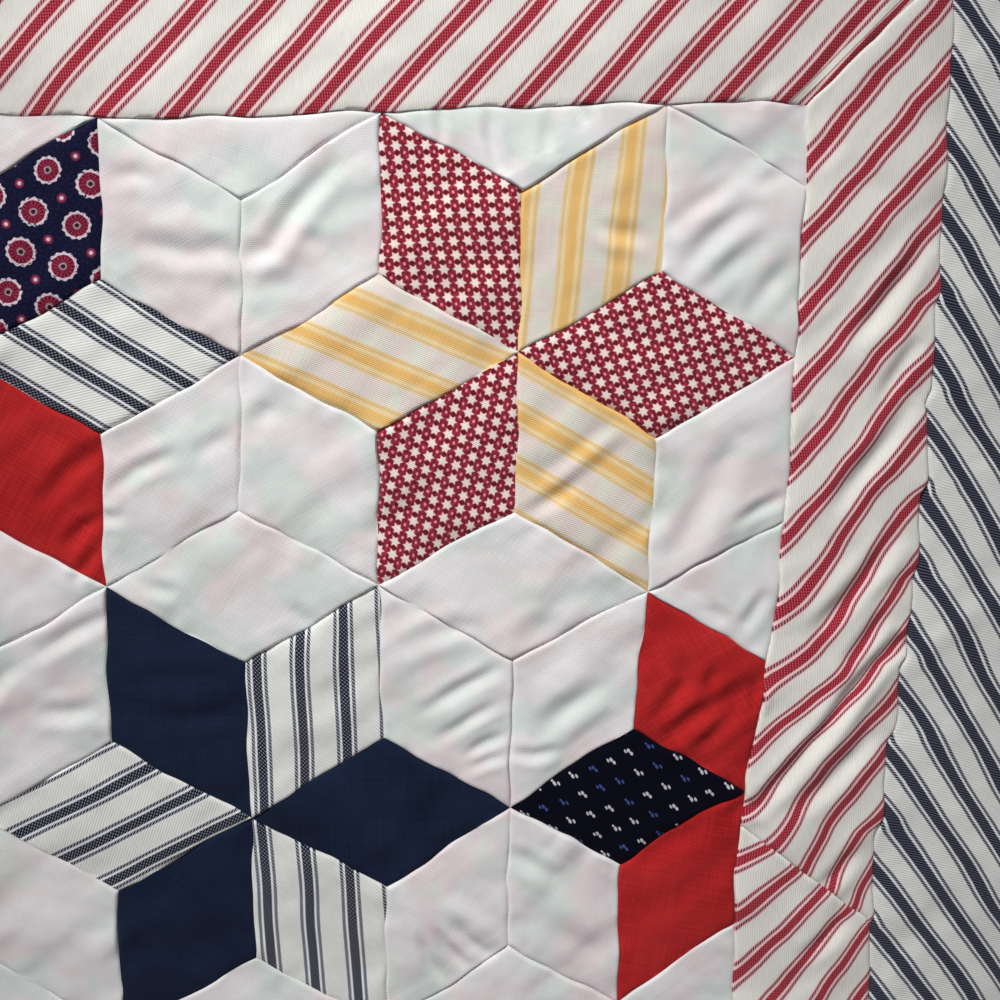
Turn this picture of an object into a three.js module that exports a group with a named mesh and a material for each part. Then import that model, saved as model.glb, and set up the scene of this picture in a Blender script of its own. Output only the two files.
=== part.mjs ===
// A star patchwork quilt lying face up, in millimetres with +Z up. The origin is the middle of its
// underside and +Y points to its head end. Each piece is a solid with a flat underside and a quilted
// top: low at the seams and puffed up by its filling between them.
import * as THREE from 'three';

// The pieced layout: sixty-degree diamonds make six-pointed stars that touch tip to tip
const patchSide = 50.8;
const starRows = 5;
const starColumns = 4;
const redBorderWidth = 47;
const navyBorderWidth = 63.5;
const seamGap = 0.3;

// Thickness of the sandwich of cloth and filling
const seamThickness = 2.0;
const patchLoft = 2.6;
const borderLoft = 2.3;
const hemLoftShare = 0.35;
const loftVariation = 0.16;
const rippleHeight = 0.45;

// The slope from a seam up to the puffed middle, as a share of the patch or strip
const slopeShare = 0.2;
const slopeTopLoft = 0.82;

// The right red strip is pieced from two lengths, joined on the bias
const joinInnerBelowStar = 160;
const joinOuterBelowStar = 195;

const tipReach = patchSide * Math.sqrt(3);
const fieldHalfWidth = starColumns * tipReach;
const fieldHalfHeight = starRows * 1.5 * patchSide;
const cornerStar = { x: fieldHalfWidth - tipReach, y: fieldHalfHeight - 1.5 * patchSide };
const quiltHalfWidth = fieldHalfWidth + redBorderWidth + navyBorderWidth;
const quiltHalfHeight = fieldHalfHeight + redBorderWidth + navyBorderWidth;

// Where hand piecing strays from the drawn layout. right and up are patch sides from the middle of the
// star nearest the upper right corner, and pushX and pushY are millimetres. The opposite corner strays
// in the same way turned half round, and the other two corners more gently.
const strays = [
  { right: -2.6, up: 1.3, pushX: 1.5, pushY: -4.5 },
  { right: -0.5, up: 1.3, pushX: -0.5, pushY: 0.5 },
  { right: 1.7, up: 1.3, pushX: 4.0, pushY: 5.5 },
  { right: -2.6, up: -1.2, pushX: -1.5, pushY: 0.0 },
  { right: -0.5, up: -1.2, pushX: -0.5, pushY: 1.5 },
  { right: 1.7, up: -1.2, pushX: 3.0, pushY: -4.0 },
  { right: -2.6, up: -3.7, pushX: -1.0, pushY: -3.5 },
  { right: -0.5, up: -3.7, pushX: 4.0, pushY: -3.0 },
  { right: 1.7, up: -3.7, pushX: -9.5, pushY: 8.0 },
];
const strayReach = 60;
const strayCorners = [
  { signX: 1, signY: 1, strength: 1.0 },
  { signX: -1, signY: -1, strength: 1.0 },
  { signX: -1, signY: 1, strength: 0.6 },
  { signX: 1, signY: -1, strength: 0.6 },
];

// The outer hem wanders a little along its length
const hemWander = 1.2;
const hemWanderPitch = 190;

/** How far a place lies into the navy border, from 0 at its seam to 1 at the hem, squared. */
function hemShare(distance, hemDistance) {
  const into = (Math.abs(distance) - hemDistance + navyBorderWidth) / navyBorderWidth;
  return Math.max(0, into) ** 2;
}

/** The place that a point of the drawn layout really takes on the quilt. */
function sewnPlace(x, y) {
  const wave = 2 * Math.PI / hemWanderPitch;
  let placeX = x + hemWander * Math.sin(wave * y) * hemShare(x, quiltHalfWidth);
  let placeY = y + hemWander * Math.sin(wave * x) * hemShare(y, quiltHalfHeight);
  for (const corner of strayCorners) {
    for (const stray of strays) {
      const centreX = corner.signX * (cornerStar.x + stray.right * patchSide);
      const centreY = corner.signY * (cornerStar.y + stray.up * patchSide);
      const away = Math.hypot(x - centreX, y - centreY) / strayReach;
      const share = corner.strength * Math.exp(-away * away / 2);
      placeX += share * corner.signX * stray.pushX;
      placeY += share * corner.signY * stray.pushY;
    }
  }
  return [placeX, placeY];
}

/** Height of the top face at a place, where loft is the filling's full rise times its share there. */
function topHeight(x, y, loft) {
  const uneven = 1 + loftVariation * Math.sin(x / 27 + 1) * Math.sin(y / 33 + 2);
  const ripple = Math.sin((x + 0.7 * y) / 15 + 0.5) * Math.sin((y - 0.4 * x) / 41);
  return seamThickness + loft * uneven + rippleHeight * ripple;
}

/** A closed solid under the given top faces, with a wall round their rim and a flat underside. */
function quiltedSolid(name, faces, material) {
  const indexOf = new Map();
  const layout = [];
  const cornerIndex = (corner) => {
    const key = `${Math.round(corner.x * 1000)} ${Math.round(corner.y * 1000)}`;
    if (!indexOf.has(key)) {
      indexOf.set(key, layout.length);
      layout.push(corner);
    }
    return indexOf.get(key);
  };
  const top = faces.map((face) => face.map(cornerIndex));
  const after = rimOf(top);

  const positions = [];
  for (const corner of layout) {
    const [x, y] = sewnPlace(corner.x, corner.y);
    positions.push(x, y, topHeight(x, y, corner.loft));
  }
  const underside = new Map();
  let middleX = 0;
  let middleY = 0;
  for (const corner of after.keys()) {
    underside.set(corner, positions.length / 3);
    positions.push(positions[3 * corner], positions[3 * corner + 1], 0);
    middleX += positions[3 * corner] / after.size;
    middleY += positions[3 * corner + 1] / after.size;
  }
  const middle = positions.length / 3;
  positions.push(middleX, middleY, 0);

  const triangles = top.flat();
  for (const [from, to] of after) {
    triangles.push(to, from, underside.get(from));
    triangles.push(to, underside.get(from), underside.get(to));
    triangles.push(underside.get(to), underside.get(from), middle);
  }
  const geometry = new THREE.BufferGeometry();
  geometry.setAttribute('position', new THREE.Float32BufferAttribute(positions, 3));
  geometry.setIndex(triangles);
  geometry.computeVertexNormals();
  const mesh = new THREE.Mesh(geometry, material);
  mesh.name = name;
  return mesh;
}

/** The rim of a patch of triangles: for each rim corner, the next one anticlockwise. */
function rimOf(triangles) {
  const edges = new Map();
  for (const [a, b, c] of triangles) {
    for (const [from, to] of [[a, b], [b, c], [c, a]]) {
      const back = `${to} ${from}`;
      if (edges.has(back)) {
        edges.delete(back);
      } else {
        edges.set(`${from} ${to}`, [from, to]);
      }
    }
  }
  return new Map(edges.values());
}

/** A point of a diamond with one corner at origin and sides first and second. */
function diamondPoint(diamond, u, v) {
  const { origin, first, second } = diamond;
  return {
    x: origin.x + u * first.x + v * second.x,
    y: origin.y + u * first.y + v * second.y,
  };
}

/**
 * Top faces of one puffed diamond: three by three cells between steps at both seams, and a crowned
 * middle cell. The corner cells split along the diagonals, so a half patch ends on whole faces.
 */
function diamondFaces(diamond) {
  const steps = [0, slopeShare, 1 - slopeShare, 1];
  const loftAt = (i, j) => (i % 3 === 0 || j % 3 === 0 ? 0 : slopeTopLoft * patchLoft);
  const corner = (i, j) => ({ ...diamondPoint(diamond, steps[i], steps[j]), loft: loftAt(i, j) });
  const crown = { ...diamondPoint(diamond, 0.5, 0.5), loft: patchLoft };
  const faces = [];
  for (let i = 0; i < 3; i++) {
    for (let j = 0; j < 3; j++) {
      const around = [corner(i, j), corner(i + 1, j), corner(i + 1, j + 1), corner(i, j + 1)];
      const [a, b, c, d] = around;
      if (i === 1 && j === 1) {
        around.forEach((at, k) => faces.push([at, around[(k + 1) % 4], crown]));
      } else if (i + j === 2) {
        faces.push([a, b, d], [b, c, d]);
      } else {
        faces.push([a, b, c], [a, c, d]);
      }
    }
  }
  return faces;
}

/** A step of the given length towards an angle in degrees. */
function step(length, degrees) {
  const angle = THREE.MathUtils.degToRad(degrees);
  return { x: length * Math.cos(angle), y: length * Math.sin(angle) };
}

/** The six coloured diamonds round a star's middle and the six white ones in its notches. */
function starBlock(middle) {
  const diamonds = [];
  for (let k = 0; k < 6; k++) {
    const before = step(patchSide, 60 * k - 30);
    const beyond = step(patchSide, 60 * k + 30);
    const next = step(patchSide, 60 * k + 90);
    const notch = { x: middle.x + beyond.x, y: middle.y + beyond.y };
    diamonds.push({ origin: middle, first: before, second: beyond });
    diamonds.push({ origin: notch, first: before, second: next });
  }
  return diamonds;
}

/** Every star's middle, with one more row above and below for the white halves at the field's ends. */
function starMiddles() {
  const middles = [];
  for (let row = -1; row <= starRows; row++) {
    const shifted = Math.abs(row % 2) === 1;
    const count = shifted ? starColumns + 1 : starColumns;
    for (let column = 0; column < count; column++) {
      const steps = shifted ? 2 * column : 2 * column + 1;
      middles.push({
        x: fieldHalfWidth - steps * tipReach,
        y: cornerStar.y - 3 * patchSide * row,
      });
    }
  }
  return middles;
}

/** Faces of the pieced field: every diamond, less what lies past the border seams. */
function fieldFaces() {
  const inside = (face) => {
    const x = (face[0].x + face[1].x + face[2].x) / 3;
    const y = (face[0].y + face[1].y + face[2].y) / 3;
    return Math.abs(x) < fieldHalfWidth && Math.abs(y) < fieldHalfHeight;
  };
  return starMiddles().flatMap(starBlock).flatMap(diamondFaces).filter(inside);
}

/** Flattens the loft on the field's own rim, where a cut patch meets the border. */
function sewnDownAtRim(faces) {
  const onRim = (corner) => Math.abs(corner.x) > fieldHalfWidth - 0.01
    || Math.abs(corner.y) > fieldHalfHeight - 0.01;
  return faces.map((face) => face.map((at) => (onRim(at) ? { ...at, loft: 0 } : at)));
}

/** The field's corners along one of its sides, as shares of that side's half length. */
function seamStations(faces, acrossAxis, alongAxis, halfAcross, halfAlong) {
  const found = new Set();
  for (const corner of faces.flat()) {
    if (Math.abs(corner[acrossAxis] - halfAcross) < 0.01) {
      found.add(Math.round(1e6 * corner[alongAxis] / halfAlong));
    }
  }
  return [...found].map((millionths) => millionths / 1e6).sort((a, b) => a - b);
}

/**
 * Faces of one mitred border strip. along and across are unit vectors, reachAlong and reachAcross are
 * the half sizes of what the strip surrounds, and outerLoft is the loft's share at its outer edge.
 */
function stripFaces({ along, across, reachAlong, reachAcross, width, stations, outerLoft }) {
  const profile = [
    { share: 0, loft: 0 },
    { share: slopeShare, loft: slopeTopLoft },
    { share: 1 - slopeShare, loft: 1 },
    { share: 1, loft: outerLoft },
  ];
  const corner = (i, j) => {
    const out = seamGap / 2 + profile[j].share * (width - seamGap);
    const reach = reachAlong + out - seamGap * Math.SQRT1_2;
    const far = stations[i] * reach;
    const mitred = i === 0 || i === stations.length - 1;
    return {
      x: along.x * far + across.x * (reachAcross + out),
      y: along.y * far + across.y * (reachAcross + out),
      loft: mitred ? 0 : profile[j].loft * borderLoft,
    };
  };
  const faces = [];
  for (let i = 0; i < stations.length - 1; i++) {
    for (let j = 0; j < profile.length - 1; j++) {
      const a = corner(i, j);
      const b = corner(i + 1, j);
      const c = corner(i + 1, j + 1);
      const d = corner(i, j + 1);
      faces.push([a, b, c], [a, c, d]);
    }
  }
  return faces;
}

/** What of each face lies on the side of a line that faces along its normal. */
function cutFaces(faces, point, normal, clearance) {
  const depth = (at) => (at.x - point.x) * normal.x + (at.y - point.y) * normal.y - clearance;
  const kept = [];
  for (const face of faces) {
    const outline = [];
    face.forEach((from, k) => {
      const to = face[(k + 1) % 3];
      const [start, end] = [depth(from), depth(to)];
      if (start >= 0) {
        outline.push(from);
      }
      if (start * end < 0) {
        const share = start / (start - end);
        outline.push({
          x: from.x + share * (to.x - from.x),
          y: from.y + share * (to.y - from.y),
          loft: 0,
        });
      }
    });
    for (let k = 1; k < outline.length - 1; k++) {
      kept.push([outline[0], outline[k], outline[k + 1]]);
    }
  }
  return kept;
}

const sides = [
  { name: 'top', along: { x: 1, y: 0 }, across: { x: 0, y: 1 } },
  { name: 'right', along: { x: 0, y: -1 }, across: { x: 1, y: 0 } },
  { name: 'bottom', along: { x: -1, y: 0 }, across: { x: 0, y: -1 } },
  { name: 'left', along: { x: 0, y: 1 }, across: { x: -1, y: 0 } },
];

/** A border's strip faces on each of the quilt's four sides, by the side's name. */
function borderFaces(inset, width, outerLoft, stationsX, stationsY) {
  return Object.fromEntries(sides.map(({ name, along, across }) => {
    const upright = along.x === 0;
    const faces = stripFaces({
      along,
      across,
      reachAlong: (upright ? fieldHalfHeight : fieldHalfWidth) + inset,
      reachAcross: (upright ? fieldHalfWidth : fieldHalfHeight) + inset,
      width,
      stations: upright ? stationsY : stationsX,
      outerLoft,
    });
    return [name, faces];
  }));
}

/** The bias join's line across the right red strip: a point on it and its normal, pointing up. */
function biasJoin() {
  const inner = { x: fieldHalfWidth, y: cornerStar.y - joinInnerBelowStar };
  const outer = { x: fieldHalfWidth + redBorderWidth, y: cornerStar.y - joinOuterBelowStar };
  const length = Math.hypot(outer.x - inner.x, outer.y - inner.y);
  return {
    point: inner,
    upward: { x: (inner.y - outer.y) / length, y: (outer.x - inner.x) / length },
  };
}

const patchwork = new THREE.MeshStandardMaterial({ color: '#e4dcd9', roughness: 0.9, metalness: 0 });
const redTicking = new THREE.MeshStandardMaterial({ color: '#d8a8a6', roughness: 0.9, metalness: 0 });
const navyTicking = new THREE.MeshStandardMaterial({ color: '#8d94a3', roughness: 0.9, metalness: 0 });

const quilt = new THREE.Group();
const field = sewnDownAtRim(fieldFaces());
quilt.add(quiltedSolid('star_field', field, patchwork));

const stationsX = seamStations(field, 'y', 'x', fieldHalfHeight, fieldHalfWidth);
const stationsY = seamStations(field, 'x', 'y', fieldHalfWidth, fieldHalfHeight);
const redStrips = borderFaces(0, redBorderWidth, 0, stationsX, stationsY);
for (const name of ['top', 'bottom', 'left']) {
  quilt.add(quiltedSolid(`red_border_${name}`, redStrips[name], redTicking));
}
const { point, upward } = biasJoin();
const downward = { x: -upward.x, y: -upward.y };
const upperLength = cutFaces(redStrips.right, point, upward, seamGap / 2);
const lowerLength = cutFaces(redStrips.right, point, downward, seamGap / 2);
quilt.add(quiltedSolid('red_border_right_upper', upperLength, redTicking));
quilt.add(quiltedSolid('red_border_right_lower', lowerLength, redTicking));

const navyStrips = borderFaces(redBorderWidth, navyBorderWidth, hemLoftShare, stationsX, stationsY);
for (const [name, faces] of Object.entries(navyStrips)) {
  quilt.add(quiltedSolid(`navy_border_${name}`, faces, navyTicking));
}

export default quilt;
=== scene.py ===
import logging
import math
from dataclasses import dataclass, field
from enum import Enum
from functools import cache

import bpy
import numpy as np
from mathutils import Matrix


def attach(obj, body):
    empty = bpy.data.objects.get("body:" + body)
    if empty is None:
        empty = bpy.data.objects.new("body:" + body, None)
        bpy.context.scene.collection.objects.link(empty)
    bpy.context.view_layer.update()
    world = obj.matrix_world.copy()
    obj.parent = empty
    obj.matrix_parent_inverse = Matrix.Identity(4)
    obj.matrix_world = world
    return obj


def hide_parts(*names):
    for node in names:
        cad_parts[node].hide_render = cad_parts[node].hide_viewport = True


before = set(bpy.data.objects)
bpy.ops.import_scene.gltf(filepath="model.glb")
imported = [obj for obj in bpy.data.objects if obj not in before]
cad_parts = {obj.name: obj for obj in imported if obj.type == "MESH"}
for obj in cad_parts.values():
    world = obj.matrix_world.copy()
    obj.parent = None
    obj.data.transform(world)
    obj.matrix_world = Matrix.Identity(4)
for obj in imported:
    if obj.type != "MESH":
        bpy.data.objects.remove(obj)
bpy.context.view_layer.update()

# Star quilt blanket: a field of sewn diamonds, a red and a navy ticking border, and a stitched hem.
# All sizes are in millimetres until a mesh is made. The quilt lies in X and Y, with Z up.
MM = 0.001
ROOT3 = math.sqrt(3.0)
CLOTH_MAP = "cloth"
BAKE_MAP = "OFBake"
BAKE_CELLS = 4
BAKE_MARGIN = 0.03
UNDER_LIFT = 0.45
PRESSED_STEEP = 0.22
OPEN_STEEP = 0.5
TOUCH = 1e-6
log = logging.getLogger("star_quilt")


# Small helpers on whole arrays


def direction(degrees: float) -> np.ndarray:
    """The unit vector at an angle from +X, in degrees."""
    turn = math.radians(degrees)
    return np.array([math.cos(turn), math.sin(turn)])


def side_distance(start: np.ndarray, end: np.ndarray, x: np.ndarray, y: np.ndarray) -> np.ndarray:
    """How far places lie to the left of the line from start to end."""
    step = (end - start) / np.hypot(*(end - start))
    return (y - start[1]) * step[0] - (x - start[0]) * step[1]


def smooth_step(value: np.ndarray, low: float, high: float) -> np.ndarray:
    """0 below low, 1 above high, and 3t^2 - 2t^3 between them."""
    share = np.clip((value - low) / (high - low), 0.0, 1.0)
    return share * share * (3.0 - 2.0 * share)


def cell_noise(column: np.ndarray, row: np.ndarray, seed: int) -> np.ndarray:
    """A fixed random number from -1 to 1 for each whole column and row, by mixing their bits."""
    mixed = column.astype(np.int64) * 374761393 + row.astype(np.int64) * 668265263
    mixed = (mixed + seed * 974634777) & 0xFFFFFFFF
    mixed = ((mixed ^ (mixed >> 13)) * 1274126177) & 0xFFFFFFFF
    mixed = mixed ^ (mixed >> 16)
    return (mixed & 0xFFFFFF) / float(0x7FFFFF) - 1.0


def soft_noise(x: np.ndarray, y: np.ndarray, size: float, seed: int) -> np.ndarray:
    """Soft random hills from -1 to 1.

    Random heights stand at whole steps of size, and 6t^5 - 15t^4 + 10t^3 blends each to the next.

    Args:
        x: Places along X.
        y: Places along Y.
        size: The step between the random heights.
        seed: Picks one of many such landscapes.

    Returns:
        The height at each place.
    """
    column, row = np.floor(x / size), np.floor(y / size)
    across, up = x / size - column, y / size - row
    across = across**3 * (across * (6.0 * across - 15.0) + 10.0)
    up = up**3 * (up * (6.0 * up - 15.0) + 10.0)
    low = cell_noise(column, row, seed) * (1.0 - across) + cell_noise(column + 1, row, seed) * across
    high = cell_noise(column, row + 1, seed) * (1.0 - across) + cell_noise(column + 1, row + 1, seed) * across
    return low * (1.0 - up) + high * up


def edge_dense_steps(cells: int, first: float, spread: float = 2.2) -> np.ndarray:
    """Shares from 0 to 1 whose steps are short at both ends.

    Step i is 1 - (1 - first) * exp(-i / spread), counted from the nearer end, scaled to a sum of 1.
    """
    place = np.arange(cells)
    nearer = np.minimum(place, cells - 1 - place)
    steps = 1.0 - (1.0 - first) * np.exp(-nearer / spread)
    return np.concatenate([[0.0], np.cumsum(steps)]) / steps.sum()


def grid_triangles(rows: int, columns: int) -> np.ndarray:
    """Two triangles for each cell of a grid of (rows + 1) by (columns + 1) points, counter-clockwise."""
    corner = (np.arange(rows)[:, None] * (columns + 1) + np.arange(columns)[None, :]).ravel()
    lower = np.stack([corner, corner + 1, corner + columns + 2], axis=1)
    upper = np.stack([corner, corner + columns + 2, corner + columns + 1], axis=1)
    return np.concatenate([lower, upper])


# The quilt's plan


@dataclass(frozen=True)
class QuiltPlan:
    """Driving sizes of the quilt as it is drawn, before the sewing draws it out of true."""

    patch_side: float = 50.8
    star_rows: int = 5
    star_columns: int = 4
    red_border: float = 47.0
    navy_border: float = 63.5
    seam_thickness: float = 2.0
    join_inner_drop: float = 166.0
    join_outer_drop: float = 202.0

    @property
    def tip_reach(self) -> float:
        """From a star's middle to its tips."""
        return self.patch_side * ROOT3

    @property
    def half_width(self) -> float:
        """From the middle of the pieced field to its side seams."""
        return self.star_columns * self.tip_reach

    @property
    def half_height(self) -> float:
        """From the middle of the pieced field to its top seam."""
        return 1.5 * self.star_rows * self.patch_side

    @property
    def corner_star(self) -> np.ndarray:
        """The middle of the whole star nearest the head end's right corner."""
        return np.array([self.half_width - self.tip_reach, self.half_height - 1.5 * self.patch_side])

    def hem(self) -> np.ndarray:
        """Half the quilt's width and height, out to the hem."""
        borders = self.red_border + self.navy_border
        return np.array([self.half_width + borders, self.half_height + borders])


PLAN = QuiltPlan()


@dataclass(frozen=True)
class Push:
    """One smooth push of the sewn layout: its middle in patch sides from the corner star, and its reach."""

    right: float
    up: float
    push_x: float
    push_y: float


PUSHES = (
    Push(-2.6, 1.3, 1.5, -4.5),
    Push(-0.5, 1.3, -0.5, 0.5),
    Push(1.7, 1.3, 4.0, 5.5),
    Push(-2.6, -1.2, -1.5, 0.0),
    Push(-0.5, -1.2, -0.5, 1.5),
    Push(1.7, -1.2, 3.0, -4.0),
    Push(-2.6, -3.7, -1.0, -3.5),
    Push(-0.5, -3.7, 4.0, -3.0),
    Push(1.7, -3.7, -9.5, 8.0),
)
PUSH_REACH = 60.0
PUSHED_CORNERS = ((1, 1, 1.0), (-1, -1, 1.0), (-1, 1, 0.6), (1, -1, 0.6))


@dataclass(frozen=True)
class Fold:
    """A crease that the sewing or wear left in the cloth, as a soft trough or ridge.

    Its path runs through points in millimetres from the corner star's middle. Across it the height is
    depth * (exp(-q^2) - lip * exp(-((q - 1.9) / 0.9)^2)), where q is the distance over the width.
    """

    path: tuple
    depth: float = -0.7
    width: float = 3.0
    lip: float = 0.35
    end_share: float = 0.15

    def height(self, x: np.ndarray, y: np.ndarray) -> np.ndarray:
        """The crease's height at each place, fading to end_share of its depth at the path's ends."""
        points = np.array(self.path, float) + PLAN.corner_star
        lengths = np.hypot(*np.diff(points, axis=0).T)
        starts = np.concatenate([[0.0], np.cumsum(lengths)])
        nearest = np.full(x.shape, 1.0e6)
        along = np.zeros(x.shape)
        for index, length in enumerate(lengths):
            step = (points[index + 1] - points[index]) / length
            run = np.clip((x - points[index][0]) * step[0] + (y - points[index][1]) * step[1], 0.0, length)
            away = np.hypot(x - points[index][0] - run * step[0], y - points[index][1] - run * step[1])
            closer = away < nearest
            nearest = np.where(closer, away, nearest)
            along = np.where(closer, (starts[index] + run) / starts[-1], along)
        reach = nearest / self.width
        taper = self.end_share + (1.0 - self.end_share) * np.sin(np.pi * along) ** 0.7
        shape = np.exp(-(reach**2)) - self.lip * np.exp(-(((reach - 1.9) / 0.9) ** 2))
        return self.depth * shape * taper

    def box(self) -> tuple:
        """The lowest and highest corner of all that the crease moves."""
        points = np.array(self.path, float) + PLAN.corner_star
        return points.min(axis=0) - 4.0 * self.width, points.max(axis=0) + 4.0 * self.width


# The creases that show at the head end's right corner: in the white patches, in the coloured ones, and
# the puckers that run into the borders from their outer seam.
WHITE_FOLDS = (
    Fold(((-114, 53), (-120, 55), (-128, 54)), -0.5, 2.6),
    Fold(((-121, 34), (-105, 31), (-88, 32)), -0.75, 3.2),
    Fold(((-116, 40), (-104, 41), (-90, 38)), 0.35, 3.0),
    Fold(((-103, 27), (-98, 21), (-92, 16)), -0.45, 4.0),
    Fold(((-88, 29), (-78, 33), (-72, 44), (-64, 53), (-56, 61)), -0.95, 3.0),
    Fold(((-85, 24), (-70, 37), (-59, 52)), 0.4, 3.2),
    Fold(((-70, 38), (-61, 33)), -0.45, 2.8),
    Fold(((-88, 20), (-70, 23)), -0.4, 3.2),
    Fold(((-26, 77), (-24, 66)), -0.5, 1.7, 0.5),
    Fold(((-10, 77), (-9, 68), (-6, 58)), -0.65, 1.9, 0.5),
    Fold(((9, 78), (9, 64)), -0.55, 1.9, 0.5),
    Fold(((20, 79), (21, 73)), -0.35, 1.6, 0.5),
    Fold(((49, 42), (58, 49), (70, 55)), -0.55, 3.0),
    Fold(((55, 30), (63, 40), (75, 50)), -0.8, 3.4),
    Fold(((59, 21), (69, 30), (81, 39)), -0.6, 3.0),
    Fold(((75, 14), (82, 24), (90, 33)), -0.6, 2.8),
    Fold(((86, 60), (78, 56), (72, 60)), -0.35, 2.4),
    Fold(((53, -67), (60, -52), (67, -38), (76, -22)), -0.7, 4.2),
    Fold(((60, -75), (70, -58), (80, -42)), 0.4, 5.0),
    Fold(((74, -54), (82, -49), (91, -45)), -0.55, 2.0),
    Fold(((86, -77), (82, -84), (78, -90)), -0.55, 2.2),
    Fold(((67, -82), (72, -88)), -0.4, 2.0),
    Fold(((10, -85), (20, -80), (32, -74)), -0.5, 4.0),
    Fold(((1, -95), (8, -91), (17, -86)), -0.45, 3.5),
    Fold(((-30, -119), (-17, -111), (-3, -103)), -0.75, 2.2),
    Fold(((-38, -97), (-25, -92), (-8, -88)), -0.45, 3.0),
    Fold(((-25, -129), (-13, -121), (-3, -115)), -0.6, 2.0),
    Fold(((-15, -134), (-9, -130), (-2, -127)), -0.5, 1.7),
    Fold(((-14, -139), (-2, -134)), -0.45, 1.7),
    Fold(((0, -133), (8, -134), (17, -132)), -0.6, 2.0),
    Fold(((11, -124), (19, -118), (31, -110)), -0.7, 3.2),
    Fold(((-25, -196), (-21, -203), (-14, -211)), -0.6, 1.9),
    Fold(((-30, -200), (-27, -208), (-22, -216)), -0.55, 1.8),
    Fold(((-17, -196), (-12, -202), (-6, -207)), -0.5, 1.8),
    Fold(((-24, -186), (-12, -193), (-1, -203)), 0.55, 3.0),
    Fold(((0, -168), (8, -173), (17, -179)), -0.6, 2.6),
    Fold(((11, -192), (22, -200), (34, -208)), -0.5, 4.0),
    Fold(((-132, -46), (-122, -38), (-109, -32)), -0.7, 2.4),
    Fold(((-134, -54), (-126, -53)), -0.4, 2.0),
    Fold(((-104, -33), (-97, -29), (-90, -25)), -0.4, 2.6),
    Fold(((-85, -22), (-78, -17)), -0.55, 3.0),
    Fold(((-156, -99), (-145, -92), (-132, -86)), -0.75, 2.6),
    Fold(((-157, -119), (-146, -119), (-137, -117)), -0.65, 2.8),
    Fold(((-119, -76), (-110, -79)), -0.5, 2.2),
    Fold(((-73, -83), (-66, -90)), -0.45, 2.6),
)
COLOUR_FOLDS = (
    Fold(((24, 43), (32, 40), (40, 39)), -0.45, 2.3),
    Fold(((25, 37), (34, 35), (42, 33)), 0.35, 2.4),
    Fold(((3, -52), (12, -47), (22, -41)), -0.6, 2.2, 0.5),
    Fold(((10, -43), (22, -34), (36, -23)), 0.6, 2.4, 0.4),
    Fold(((-153, -50), (-144, -39), (-132, -29)), -1.0, 2.8),
    Fold(((-146, -64), (-140, -57), (-133, -53)), -0.8, 2.0),
    Fold(((-143, -75), (-139, -69), (-134, -63)), -0.8, 1.9),
    Fold(((-129, -108), (-112, -107), (-92, -107)), -0.5, 3.2),
    Fold(((-121, -121), (-106, -121), (-91, -119)), -0.55, 3.0),
    Fold(((-26, -144), (-24, -152), (-25, -162)), -0.5, 5.0),
    Fold(((87, -107), (74, -115), (62, -122), (50, -131)), -1.1, 3.2),
    Fold(((81, -115), (73, -123), (64, -133)), -1.0, 2.6),
    Fold(((84, -110), (83, -120)), -1.0, 1.9),
    Fold(((57, -100), (60, -108), (54, -116), (48, -124)), -0.9, 2.8),
    Fold(((70, -104), (66, -112)), -0.7, 2.4),
    Fold(((84, -150), (76, -158)), -0.6, 2.8),
    Fold(((46, -172), (56, -165), (68, -160)), -0.6, 3.4),
    Fold(((-16, 58), (-28, 50)), -0.3, 3.5),
    Fold(((-6, 14), (-20, 20), (-34, 28)), -0.35, 3.5),
    Fold(((30, 10), (42, 6), (56, 2)), -0.35, 4.0),
)
BORDER_PUCKERS = (
    Fold(((134, 41), (127, 30), (118, 16), (110, 6)), -1.2, 2.9),
    Fold(((133, 8), (128, 0), (121, -12)), -0.9, 2.6),
    Fold(((132, -13), (125, -24), (115, -38), (106, -50)), -1.2, 3.0),
    Fold(((129, -57), (122, -68), (113, -80), (103, -92)), -1.3, 3.0),
    Fold(((127, -84), (121, -93), (114, -103)), -0.9, 2.4),
    Fold(((125, -126), (119, -135), (109, -146), (100, -154)), -1.1, 2.8),
    Fold(((121, -169), (116, -177), (108, -186)), -1.0, 2.5),
    Fold(((119, -194), (113, -201), (104, -209)), -1.0, 2.5),
    Fold(((96, -28), (100, -18)), -0.35, 2.6),
    Fold(((95, 62), (103, 72)), -0.3, 2.6),
)
DEEP_PUCKER = Fold(
    ((132, -95), (124, -103), (117, -112), (107, -127), (95, -142), (86, -153)), -1.7, 2.6, 0.35, 0.4
)
DEEP_PUCKER_SHADE = Fold(((128, -104), (113, -123), (100, -141)), 0.7, 4.5, 0.0, 0.2)
MITRE_FOLDS = (
    Fold(((87, 79), (97, 93), (112, 112)), -0.6, 2.0, 0.3),
    Fold(((74, 79), (78, 90)), -0.4, 2.4),
)
PUCKER_SEAM_DROPS = (60.0, 24.0, -6.0, -36.0, -64.0, -97.0, -125.0, -160.0, -196.0, -226.0)


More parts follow.
